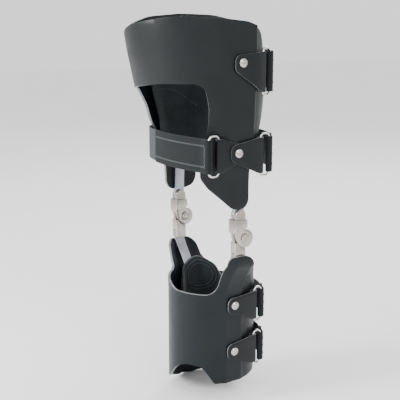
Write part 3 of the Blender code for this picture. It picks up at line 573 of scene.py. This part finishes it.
# %% [markdown]
# ## Threads
#
# A row of stitches is a thin round thread that follows the surface. Plain rows are the seams
# of the linings and zigzag rows hold the tapes. Bump could only hint at them, so each is a
# curve with a round bevel. The wire loops are made by the same helper, with a thicker rod.

# %% Thread helper
def finished(piece):
    """The piece as its bevel, modifiers or simulation leave it."""
    return piece.evaluated_get(bpy.context.evaluated_depsgraph_get())


def thread(name, points, radius, material, body, closed=False):
    """A thin cord through points in millimetres, made a mesh."""
    curve = bpy.data.curves.new(name, "CURVE")
    curve.dimensions = "3D"
    curve.bevel_depth = radius * MM
    curve.bevel_resolution = 1
    curve.use_fill_caps = True
    line = curve.splines.new("POLY")
    line.points.add(len(points) - 1)
    line.use_cyclic_u = closed
    for target, point in zip(line.points, points):
        target.co = (*(Vector(point) * MM), 1)
    holder = bpy.data.objects.new(name, curve)
    bpy.context.scene.collection.objects.link(holder)
    bpy.context.view_layer.update()
    mesh = bpy.data.meshes.new_from_object(finished(holder))
    mesh.materials.clear()
    bpy.data.objects.remove(holder)
    return as_piece(name, mesh, (material,), body)


def zigzag(start, end, pitch, swing):
    """Points of a zigzag in the flat pattern."""
    along = Vector(end) - Vector(start)
    across = Vector((-along.y, along.x)).normalized() * swing
    count = max(2, round(along.length / pitch))
    middles = [Vector(start) + along * k / count for k in range(count + 1)]
    return [middle + across * (1 if k % 2 else -1) for k, middle in enumerate(middles)]


print("30 mm of zigzag has", len(zigzag((0, 0), (30, 0), 1.6, 0.7)), "points")

# %% [markdown]
# ## Linings and knee pads
#
# The linings are foam with a knitted cover. They lie inside the steel bars, so that the leg
# never touches metal. Each is moulded from its pattern a little thin, then blown up by the
# cloth solver with its rim held, which is what foam does between two seams. The calf lining
# carries a rounded pad on each side, just below the knee.

# %% Blowing up a lining
def blow_up(piece, held, pressure, most, frames=20):
    """Runs the cloth solver with some points held, then caps how far any point has moved."""
    rest = [v.co.copy() for v in piece.data.vertices]
    group = piece.vertex_groups.new(name="held")
    group.add([i for i, co in enumerate(rest) if held(co / MM)], 1.0, "REPLACE")
    cloth = piece.modifiers.new("Cloth", "CLOTH")
    settings = cloth.settings
    settings.vertex_group_mass = "held"
    settings.use_pressure = True
    settings.uniform_pressure_force = pressure
    settings.effector_weights.gravity = 0
    settings.mass = 0.2
    settings.tension_stiffness = settings.compression_stiffness = 25
    cloth.collision_settings.use_collision = False
    cloth.point_cache.frame_start, cloth.point_cache.frame_end = 1, frames
    for number in range(1, frames + 1):
        bpy.context.scene.frame_set(number)
    moved = [v.co.copy() for v in finished(piece).to_mesh().vertices]
    piece.modifiers.remove(cloth)
    furthest = 0.0
    for vertex, before, after in zip(piece.data.vertices, rest, moved):
        step = after - before
        if step.length > most * MM:
            step *= most * MM / step.length
        vertex.co = before + step
        furthest = max(furthest, step.length)
    bpy.context.scene.frame_set(1)
    piece.vertex_groups.clear()
    print(piece.name, "points", len(rest), "moved up to", round(furthest / MM, 2), "mm")


# %% Linings
LINING_INSET, LINING_THICK = 9.4, 3.6
LINING_SLACK = 0.6  # how much thinner a lining is moulded than it ends up
HELD_RIM, LINING_PRESSURE, LINING_SWELL = 8, 1.5, 0.8


def lining(name, section, girth, corners, material, body, node):
    outline = rounded([(math.radians(a) * girth, z, r) for a, z, r in corners], 15)

    def bend(x, y, depth):
        inset = depth + LINING_SLACK / 2 - LINING_INSET - LINING_THICK
        return section.point(math.degrees(x / girth), y, inset)

    low, high = min(p.x for p in outline), max(p.x for p in outline)
    bottom, top = min(p.y for p in outline), max(p.y for p in outline)
    made = moulded(
        name, outline, LINING_THICK - LINING_SLACK, bend, every(low, high, 5), every(bottom, top, 5),
        (material, material), body, edge=1.1,
    )

    def held(co):
        angle = math.atan2(co.x, smooth(section.centre, co.z) - co.y) % (2 * math.pi)
        inwards = (high - low) / 2 - abs(angle - math.pi) * girth
        return min(inwards, top - co.z, co.z - bottom) < HELD_RIM

    blow_up(made, held, LINING_PRESSURE, LINING_SWELL)
    smoother = made.modifiers.new("Subdivision", "SUBSURF")
    smoother.levels = smoother.render_levels = 1
    stand_for(node)
    return bend


thigh_lining_corners = [
    (66, 90, 14), (66, 224, 14), (128, 218, 40), (158, 208, 40), (200, 232, 30), (298, 228, 14),
    (296, 90, 14), (250, 84, 30), (180, 104, 40), (110, 84, 30),
]
calf_lining_corners = [
    (70, -180, 10), (62, -76, 10), (70, -62, 16), (102, -48, 30), (132, -62, 16), (142, -78, 10),
    (218, -78, 10), (228, -62, 16), (258, -48, 30), (290, -62, 16), (298, -76, 10),
    (294, -188, 10), (180, -188, 30),
]
thigh_bend = lining(
    "thigh_soft_lining", THIGH, THIGH_GIRTH, thigh_lining_corners, lining_knit, "thigh", "thigh_liner"
)
calf_bend = lining(
    "calf_soft_lining", CALF, CALF_GIRTH, calf_lining_corners, pad_knit, "shank", "calf_liner"
)

# %% [markdown]
# ### Sewn marks on the linings
#
# The knee pads of the calf lining are quilted: two oval seams, one inside the other, run near
# the edge of each pad. The thigh lining is made of two layers, and the seam between them runs
# in an arc under the band. All are threads laid on the leg side of the knit, each placed by
# the same function that bent its lining, so that it follows the curve.

# %% Seams
SEAM_DEPTH, SEAM_RADIUS, PAD_HEIGHT = 0.55, 0.45, -76


def seam(name, bend, points, body, closed):
    """Sews a thread on the leg side of a lining; points are (angle, height)."""
    girth = THIGH_GIRTH if body == "thigh" else CALF_GIRTH
    laid = [bend(math.radians(angle) * girth, height, -SEAM_DEPTH) for angle, height in points]
    thread(name, laid, SEAM_RADIUS, thread_dark, body, closed)


def oval(middle, wide, above, below):
    """An oval round a pad's middle, as high above PAD_HEIGHT and as low below it as given."""
    points = []
    for k in range(36):
        turn = math.radians(k * 10)
        rise = (above if math.sin(turn) > 0 else below) * math.sin(turn)
        points.append((middle + wide * math.cos(turn), PAD_HEIGHT + rise))
    return points


for label, middle in (("outer", 102), ("inner", 258)):
    seam(label + "_pad_seam", calf_bend, oval(middle, 31, 20, 17), "shank", True)
    seam(label + "_pad_rim", calf_bend, oval(middle, 25, 16, 13), "shank", True)
arc_seam = [(angle, 164 - 0.012 * (angle - 282) ** 2) for angle in range(238, 294, 3)]
seam("lining_arc_seam", thigh_bend, arc_seam, "thigh", False)

# %% [markdown]
# ## Steel bars and knee joints
#
# These parts are machined, so their CAD solids already have the right shape. What a solid
# lacks is a broken edge: no real bar has a knife edge, and the small bevel is what catches
# the light. Each solid is copied, its loose triangles merged, and its edges bevelled, which
# keeps the fit of the joint and saves drawing it a second time.

# %% Machined parts
def machined(node, width, material):
    source = frame["nodes"][node]
    bm = bmesh.new()
    bm.from_mesh(source.data)
    bmesh.ops.remove_doubles(bm, verts=bm.verts, dist=1e-5)
    flat = math.radians(1)
    bmesh.ops.dissolve_limit(bm, angle_limit=flat, verts=bm.verts[:], edges=bm.edges[:])
    sharp = [
        edge for edge in bm.edges
        if len(edge.link_faces) == 2 and edge.calc_face_angle() > math.radians(35)
    ]
    break_edges(bm, sharp, width * MM)
    bmesh.ops.scale(bm, vec=(1 / MM, 1 / MM, 1 / MM), verts=bm.verts)
    mesh = as_mesh(node + "_machined", bm)
    made = as_piece(node + "_machined", mesh, (material,), source["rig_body"])
    made.data.set_sharp_from_angle(angle=math.radians(32))
    stand_for(node)


for side in ("lateral", "medial"):
    for part in ("upper_upright", "lower_upright"):
        machined(f"{side}_{part}", 0.4, bar_steel)
    for part in ("outer_cheek", "inner_cheek", "lock_ring", "lower_joint_bar", "pivot_nut"):
        machined(f"{side}_{part}", 0.35, nickel)
    machined(f"{side}_pivot_bushing", 0.2, bush_brass)

# %% [markdown]
# ## Turned parts
#
# Screws and rivets are turned on a lathe, and so they are here: half of the profile is drawn
# in a plane and spun right round. The rivets are domed, with a small dimple left by the
# riveting tool.

# %% Turned parts
def turned(name, stations, centre, side, material, body, steps=48):
    """stations are (along X, radius) in millimetres, from the inner end to the outer end."""
    bm = bmesh.new()
    points = [(stations[0][0], 0), *stations, (stations[-1][0], 0)]
    verts = [bm.verts.new((x, radius, 0)) for x, radius in points]
    edges = [bm.edges.new(pair) for pair in zip(verts, verts[1:])]
    bmesh.ops.spin(
        bm, geom=verts + edges, cent=(0, 0, 0), axis=(1, 0, 0), angle=2 * math.pi,
        steps=steps, use_merge=True,
    )
    bmesh.ops.remove_doubles(bm, verts=bm.verts, dist=0.002)
    bmesh.ops.translate(bm, vec=(0, *centre), verts=bm.verts)
    if side < 0:
        bmesh.ops.scale(bm, vec=(-1, 1, 1), verts=bm.verts)
    bmesh.ops.recalc_face_normals(bm, faces=bm.faces)
    made = as_piece(name, as_mesh(name, bm), (material,), body)
    made.data.set_sharp_from_angle(angle=math.radians(40))
    return made


def extent(node):
    """A turned node's side, its inner and outer end outwards from the middle, its centre."""
    low, high = (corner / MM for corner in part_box(node))
    side = 1 if low.x > 0 else -1
    ends = (low.x, high.x) if side > 0 else (-high.x, -low.x)
    return side, *ends, ((low.y + high.y) / 2, (low.z + high.z) / 2)


RIVETS = {
    "thigh_upper_tab_rivet": "thigh", "thigh_rear_lower_tab_rivet": "thigh",
    "calf_upper_tab_rivet": "shank", "calf_lower_tab_rivet": "shank",
    "medial_upper_thigh_rivet": "thigh", "medial_lower_thigh_rivet": "thigh",
    "medial_upper_calf_rivet": "shank", "medial_lower_calf_rivet": "shank",
}
for node, body in RIVETS.items():
    side, tail, crown, centre = extent(node)
    head = crown - 2.2
    profile = [
        (tail, 2.6), (tail + 0.5, 3.2), (tail + 0.9, 3.2), (tail + 0.9, 1.8), (head, 1.8),
        (head, 4.7), (head + 0.35, 5.0), (head + 0.7, 4.8), (head + 0.9, 4.2),
        (head + 1.5, 3.7), (head + 2.0, 2.9), (head + 2.2, 2.1), (head + 2.05, 1.7),
        (head + 1.3, 1.5), (head + 1.2, 0.7), (head + 1.6, 0.4),
    ]
    rivet = turned(node + "_turned", profile, centre, side, rivet_steel, body)
    stand_for(node)

# %% [markdown]
# ### Pivot screws
#
# The screw's head is turned like the rivets. Its slot could be inset into the face, but a thin
# block taken away by a Boolean gives it straight walls and square ends, and leaves the rest of
# the turned profile as it was. The result is kept as the screw's mesh.

# %% Pivot screws
SLOT_SIZE = (2.0, 1.3, 9.2)
SLOT_TURN = Matrix.Rotation(math.radians(-40), 3, "X")
for label in ("lateral", "medial"):
    node = label + "_pivot_screw"
    side, tail, crown, _ = extent(node)
    profile = [
        (tail, 2.7), (tail + 0.5, 3.2), (crown - 2.0, 3.2), (crown - 2.0, 5.5), (crown - 1.8, 5.7),
        (crown - 0.9, 5.7), (crown - 0.45, 5.5), (crown - 0.2, 5.0), (crown - 0.1, 4.4), (crown, 4.3),
    ]
    screw = turned(node + "_turned", profile, (0, 0), side, nickel, "thigh")
    block = bmesh.new()
    bmesh.ops.create_cube(block, size=1)
    bmesh.ops.scale(block, vec=SLOT_SIZE, verts=block.verts)
    bmesh.ops.rotate(block, cent=(0, 0, 0), matrix=SLOT_TURN, verts=block.verts)
    bmesh.ops.translate(block, vec=(side * crown, 0, 0), verts=block.verts)
    cutter = as_piece(node + "_slot", as_mesh(node + "_slot", block), (nickel,), "thigh")
    slit = screw.modifiers.new("slot", "BOOLEAN")
    slit.operation, slit.solver, slit.object = "DIFFERENCE", "EXACT", cutter
    bpy.context.view_layer.update()
    cut = bpy.data.meshes.new_from_object(finished(screw))
    screw.modifiers.remove(slit)
    screw.data = cut
    screw.data.set_sharp_from_angle(angle=math.radians(35))
    bpy.data.objects.remove(cutter)
    stand_for(node)

# %% [markdown]
# ## Tabs and wire loops
#
# A leather tab is riveted to the shell, widens, and folds round the near bar of a wire loop.
# The tape passes round the loop's far bar and lies back on itself. Cloth laid by the solver
# would not keep the tight fold, so the path of each is worked out in plan, looking down, and
# the flat pattern is then bent along it.

# %% Paths in plan
TAB_THICK, TAB_NOSE, TAPE_THICK, LOOP_WIRE = 2.0, 8.5, 2.0, 1.5
TAB_GAP, TAPE_GAP = 0.35, 0.4  # between a loop's wire and what turns round it
# By how much a tab and a tape are narrower than half their set's width, and its loop wider.
TAB_MARGIN, TAPE_MARGIN, LOOP_MARGIN = 1.5, 1.7, 2.2

# rivet and loop are heights and rivet_y the rivet's place on the side. A tab runs straight,
# bends by so many degrees and reaches on to its loop, lift off the shell; span is the loop's
# length. The tape rests so far off the shell and lies lap back on itself.
SETS = {
    "thigh_upper": dict(
        rivet=202, rivet_y=-13, loop=191, width=48, straight=14, bend=14, reach=6,
        span=12, lift=1.2, rest=2.6, lap=34,
    ),
    "thigh_rear_lower": dict(
        rivet=102, rivet_y=-16, loop=97, width=44, straight=13, bend=5, reach=8,
        span=13, lift=3.8, rest=3.5, lap=34,
    ),
    "calf_upper": dict(
        rivet=-86, rivet_y=-2, loop=-91, width=38, straight=8, bend=5, reach=11,
        span=11, lift=1.4, rest=1.4, lap=26,
    ),
    "calf_lower": dict(
        rivet=-144, rivet_y=-2, loop=-147, width=38, straight=8, bend=5, reach=11,
        span=11, lift=1.0, rest=1.0, lap=26,
    ),
    "thigh_front": dict(
        rivet=102, rivet_y=-16, loop=100, width=41, straight=6, bend=-3, reach=5,
        span=13, lift=1.2, rest=6.4, lap=107,
    ),
}
INNER_RIVETS = {"thigh_upper": 196, "thigh_rear_lower": 100, "calf_upper": -91, "calf_lower": -147}


def arc(centre, start, radius, sweep, steps):
    """Points round a centre from start, which is left out, through a sweep in degrees."""
    first = (start - centre).normalized() * radius
    turns = [Matrix.Rotation(math.radians(sweep) * k / steps, 2) for k in range(1, steps + 1)]
    return [centre + turn @ first for turn in turns]


def lengths(path):
    """The distance of each point along a path."""
    total = [0.0]
    for first, second in zip(path, path[1:]):
        total.append(total[-1] + (second - first).length)
    return total


def follow(path, total, distance):
    """The point and the left-hand normal at a distance along a path."""
    distance = min(max(distance, 0.0), total[-1] - 1e-6)
    index = max(i for i, length in enumerate(total[:-1]) if length <= distance)
    step = path[index + 1] - path[index]
    ahead = path[min(index + 2, len(path) - 1)] - path[index + 1]
    behind = path[index] - path[max(index - 1, 0)]
    share = (distance - total[index]) / step.length
    before = (behind.normalized() if behind.length > 0 else step.normalized()) + step.normalized()
    after = (ahead.normalized() if ahead.length > 0 else step.normalized()) + step.normalized()
    along = before.normalized().lerp(after.normalized(), share).normalized()
    return path[index] + step * share, Vector((-along.y, along.x))


def tab_path(section, data, direction):
    """The tab's middle line up to its loop; direction is 1 to the back, -1 to the front."""
    x = smooth(section.width, data["loop"]) + data["lift"] + TAB_THICK / 2
    nose = Vector((x, data["rivet_y"] - direction * (TAB_NOSE + 1)))
    heading = Vector((0, direction))
    path = [nose, nose + heading * (TAB_NOSE + 1 + data["straight"])]
    for _ in range(8):
        heading = Matrix.Rotation(math.radians(direction * data["bend"] / 8), 2) @ heading
        path.append(path[-1] + heading * 1.5)
    path.append(path[-1] + heading * data["reach"])
    return path, heading


upper_tab, _ = tab_path(THIGH, SETS["thigh_upper"], 1)
print("the upper tab runs", round(lengths(upper_tab)[-1], 1), "mm to its loop")

# %% Tabs
def tab(label, section, direction, body):
    data = SETS[label]
    path, heading = tab_path(section, data, direction)
    inwards = Vector((-heading.y, heading.x)) * direction
    bend_radius = LOOP_WIRE + TAB_GAP + TAB_THICK / 2
    bar = path[-1] + inwards * bend_radius
    fold = arc(bar, path[-1], bend_radius, 180 * direction, 12)
    full = path + fold + [fold[-1] - heading * 3.5]
    total, flat_end = lengths(full), lengths(path)[-1]
    end = total[-1] - 0.2
    rise, half = data["rivet"] - data["loop"], data["width"] / 2 - TAB_MARGIN
    outline = rounded([
        (0.2, rise - TAB_NOSE, 8), (0.2, rise + TAB_NOSE, 8), (flat_end - 4, half, 6), (end, half, 0),
        (end, -half, 0), (flat_end - 4, -half, 6),
    ], 12)

    def bend(x, y, depth):
        point, normal = follow(full, total, x)
        flat = point + normal * (depth - TAB_THICK / 2)
        return Vector((flat.x, flat.y, data["loop"] + y))

    made = moulded(
        label + "_leather_tab", outline, TAB_THICK, bend, total[1:-1], every(-half, half, 6),
        (tab_leather, tab_edge_and_highlight), body, edge=0.5,
    )
    stand_for(label + "_tab")
    return bar, heading


def wire_loop(label, bar, heading, body):
    data = SETS[label]
    half, span = data["width"] / 2 + LOOP_MARGIN, data["span"]
    corners = rounded([(0, -half, 5), (0, half, 5), (span, half, 5), (span, -half, 5)], 9)
    points = [(*(bar + heading * along), data["loop"] + up) for along, up in corners]
    made = thread(label + "_wire_loop", points, LOOP_WIRE, wire_steel, body, closed=True)
    stand_for(label + "_loop")
    return bar + heading * span


# %% [markdown]
# ## Tapes
#
# A tape leaves the rivet on the inner side of the leg, goes round, turns round the far bar of
# its loop and is sewn or pressed onto itself. Its flat pattern is one long strip, so the weave
# stays straight in it however the tape turns. The rear tapes are sewn with three zigzag rows.

# %% Tape paths
def plan(section, height, start, end, away, step):
    """A path round a shell between two angles, away(angle) outside its surface."""
    count = max(2, round(abs(end - start) / step))
    angles = [start + (end - start) * k / count for k in range(count + 1)]
    return [section.point(a, height, away(a)).to_2d() for a in angles]


def doubled(bar, run, turn, lap_length):
    """Takes a path round a loop bar and back over itself; turn is 1 to the left, -1 right."""
    bend = LOOP_WIRE + TAPE_GAP + TAPE_THICK / 2
    towards = run[-1] - bar
    swing = turn * math.acos(bend / towards.length)
    touch = bar + Matrix.Rotation(swing, 2) @ (towards.normalized() * bend)
    fold = arc(bar, touch, bend, 180 * turn, 14)
    there = [*run, touch]
    back = there[::-1]
    total = lengths(back)
    closed = TAPE_THICK + TAPE_GAP
    steps = round(lap_length / 3)
    lap = []
    for k in range(1, steps + 1):
        distance = lap_length * k / steps
        point, normal = follow(back, total, distance)
        gap = closed + (2 * bend - closed) * fade(distance, 1, 16)
        lap.append(point - normal * turn * gap)
    return there + fold + lap, lengths(there)[-1]


def tape(label, path, half, height, body, pick, materials):
    total = lengths(path)
    end = total[-1] - 0.01
    outline = rounded([(0, -half, 1.5), (0, half, 1.5), (end, half, 2.5), (end, -half, 2.5)], 30)

    def bend(x, y, depth):
        point, normal = follow(path, total, x)
        flat = point + normal * (depth - TAPE_THICK / 2)
        return Vector((flat.x, flat.y, height + y))

    made = moulded(
        label + "_tape", outline, TAPE_THICK, bend, every(0, end, 2.5), every(-half, half, 6),
        materials, body, edge=0.6, pick=pick,
    )
    stand_for(label + "_strap")
    return bend, end


def stitches(name, bend, start, end, pitch, swing, depth, radius, material, body):
    """Lays a zigzag from start to end of a flat pattern on the bent tape."""
    points = [bend(mark.x, mark.y, depth) for mark in zigzag(start, end, pitch, swing)]
    thread(name, points, radius, material, body)


def rear_tape(label, section, bar_y, far_bar, body):
    data = SETS[label]
    height = data["loop"]
    centre = Vector((0, smooth(section.centre, height)))
    width, depth = smooth(section.width, height), smooth(section.depth, height)
    off = far_bar - centre
    bar_angle = math.degrees(math.atan2(off.x / width, -off.y / depth))
    stand_off = (math.hypot(off.x / width, off.y / depth) - 1) * (width + depth) / 2
    anchor = 360 - section.angle_at(bar_y, INNER_RIVETS[label])

    def away(angle):
        near = fade(angle, bar_angle + 5, 215)
        return (data["rest"] + TAPE_THICK / 2) * (1 - near) + (stand_off - LOOP_WIRE - TAPE_THICK) * near

    run = plan(section, height, anchor + 8, bar_angle + 9, away, 2.5)
    path, fold_start = doubled(far_bar, run, 1, data["lap"])
    half = data["width"] / 2 - TAPE_MARGIN
    bend, end = tape(label, path, half, height, body, None, (tape_woven, tape_woven))
    for row, share in enumerate((-0.55, 0.0, 0.55)):
        stitches(
            f"{label}_stitches_{row}", bend, (fold_start + 9, share * half),
            (end - 3, share * half), 1.6, 0.7, -0.12, 0.28, thread_dark, body,
        )


print("a tape turns at", LOOP_WIRE + TAPE_GAP + TAPE_THICK / 2, "mm round its loop's far bar")

# %% Every rear set
for label in INNER_RIVETS:
    on_thigh = label.startswith("thigh")
    section, body = (THIGH, "thigh") if on_thigh else (CALF, "shank")
    near_bar, heading = tab(label, section, 1, body)
    far_bar = wire_loop(label, near_bar, heading, body)
    rear_tape(label, section, UPPER_BAR_Y if on_thigh else LOWER_BAR_Y, far_bar, body)

# %% [markdown]
# ### The front tape
#
# The front tape crosses the front of the thigh, above the knee. It is a hook-and-loop one: its
# end shows the dark hook side, with two zigzag rows along it and one across, and beyond it
# the paler loop side. Nothing backs it over the front, so two smooth curves carry its path
# from the inner side over the bulge of the leg to the loop.

# %% Front set
FRONT_BULGE, FRONT_HALF = 61, 19
near_bar, heading = tab("thigh_front", THIGH, -1, "thigh")
front_bar = wire_loop("thigh_front", near_bar, heading, "thigh")
data = SETS["thigh_front"]
anchor = -THIGH.angle_at(UPPER_BAR_Y, INNER_RIVETS["thigh_rear_lower"])


def off_shell(angle):
    return data["rest"] + TAPE_THICK / 2 - 3.2 * fade(-angle, 58, 80)


run = plan(THIGH, data["loop"], anchor - 8, -62, off_shell, 2)
lead_in = (run[-1] - run[-2]).normalized() * 42
top, over_top = Vector((4, -FRONT_BULGE)), Vector((70, 0))
# The run ends beside the far bar, a little off its wire, and doubled() brings it on.
last = front_bar + Vector((-0.35, 0.94)) * (LOOP_WIRE + 0.75 + TAPE_THICK / 2)
for first, second, lead, trail in (
    (run[-1], top, lead_in, over_top), (top, last, over_top, Vector((44, 16))),
):
    for k in range(1, 25):
        t = k / 24
        run.append(
            first * (2 * t ** 3 - 3 * t ** 2 + 1) + lead * (t ** 3 - 2 * t ** 2 + t)
            + second * (3 * t ** 2 - 2 * t ** 3) + trail * (t ** 3 - t ** 2)
        )
path, fold_start = doubled(front_bar, run, -1, data["lap"])


def front_side(x, y, on_top):
    return 0 if x > fold_start - 6 else 2


front_bend, front_end = tape(
    "thigh_front", path, FRONT_HALF, data["loop"], "thigh", front_side,
    (tape_hook, tape_woven, tape_loop),
)
row_start, row_y = fold_start + 12, 0.62 * FRONT_HALF
for name, start, end in (
    ("0", (row_start, -row_y), (front_end - 2, -row_y)),
    ("1", (row_start, row_y), (front_end - 2, row_y)),
    ("end", (row_start, -row_y), (row_start, row_y)),
):
    stitches(
        f"front_stitches_{name}", front_bend, start, end, 3.0, 1.0, TAPE_THICK + 0.12, 0.24,
        thread_grey, "thigh",
    )
print("front tape", round(front_end), "mm long")

# %% [markdown]
# ## Floor and light
#
# A pale, matt floor under a white sky keeps the dark leather readable. One soft lamp stands
# to the front and left, a larger and weaker one to the right, and a third behind draws the
# rims. Round lamps are used, because they leave round highlights on the rivets.

# %% Floor and light
FLOOR_SIZE, FLOOR_GAP = 6000, 0.5
paper, tree, shader = new_finish("floor_paper", roughness=0.9, specular=0.1)
mottle(tree, shader, noise(tree, coordinates(tree), 3), (0.93, 0.93, 0.93), (0.96, 0.96, 0.96))
bm = bmesh.new()
bmesh.ops.create_grid(bm, x_segments=2, y_segments=2, size=FLOOR_SIZE)
bmesh.ops.translate(bm, vec=(0, 0, cad_box[0][2] / MM - FLOOR_GAP), verts=bm.verts)
floor = bpy.data.objects.new("floor", as_mesh("floor", bm))
floor.data.materials.append(paper)
bpy.context.scene.collection.objects.link(floor)
print("floor at", round(cad_box[0][2] / MM - FLOOR_GAP, 1), "mm")


def soft_lamp(name, place, aim, size, power):
    lamp = bpy.data.lights.new(name, "AREA")
    lamp.shape, lamp.size, lamp.energy = "DISK", size, power
    made = bpy.data.objects.new(name, lamp)
    made.location = place
    made.rotation_euler = (Vector(aim) - Vector(place)).to_track_quat("-Z", "Y").to_euler()
    bpy.context.scene.collection.objects.link(made)


soft_lamp("key", (-0.35, -1.5, 0.6), (0, 0, 0.02), 0.55, 34)
soft_lamp("fill", (1.5, -0.2, 1.0), (0, 0, 0), 1.0, 12)
soft_lamp("rim", (-0.9, 1.2, 1.3), (0, 0, 0.1), 0.9, 20)
world = bpy.data.worlds.new("studio")
world.use_nodes = True
sky = world.node_tree.nodes["Background"]
sky.inputs["Color"].default_value = (1, 1, 1, 1)
sky.inputs["Strength"].default_value = 1.35
bpy.context.scene.world = world
print("lamps:", len(bpy.data.lights))
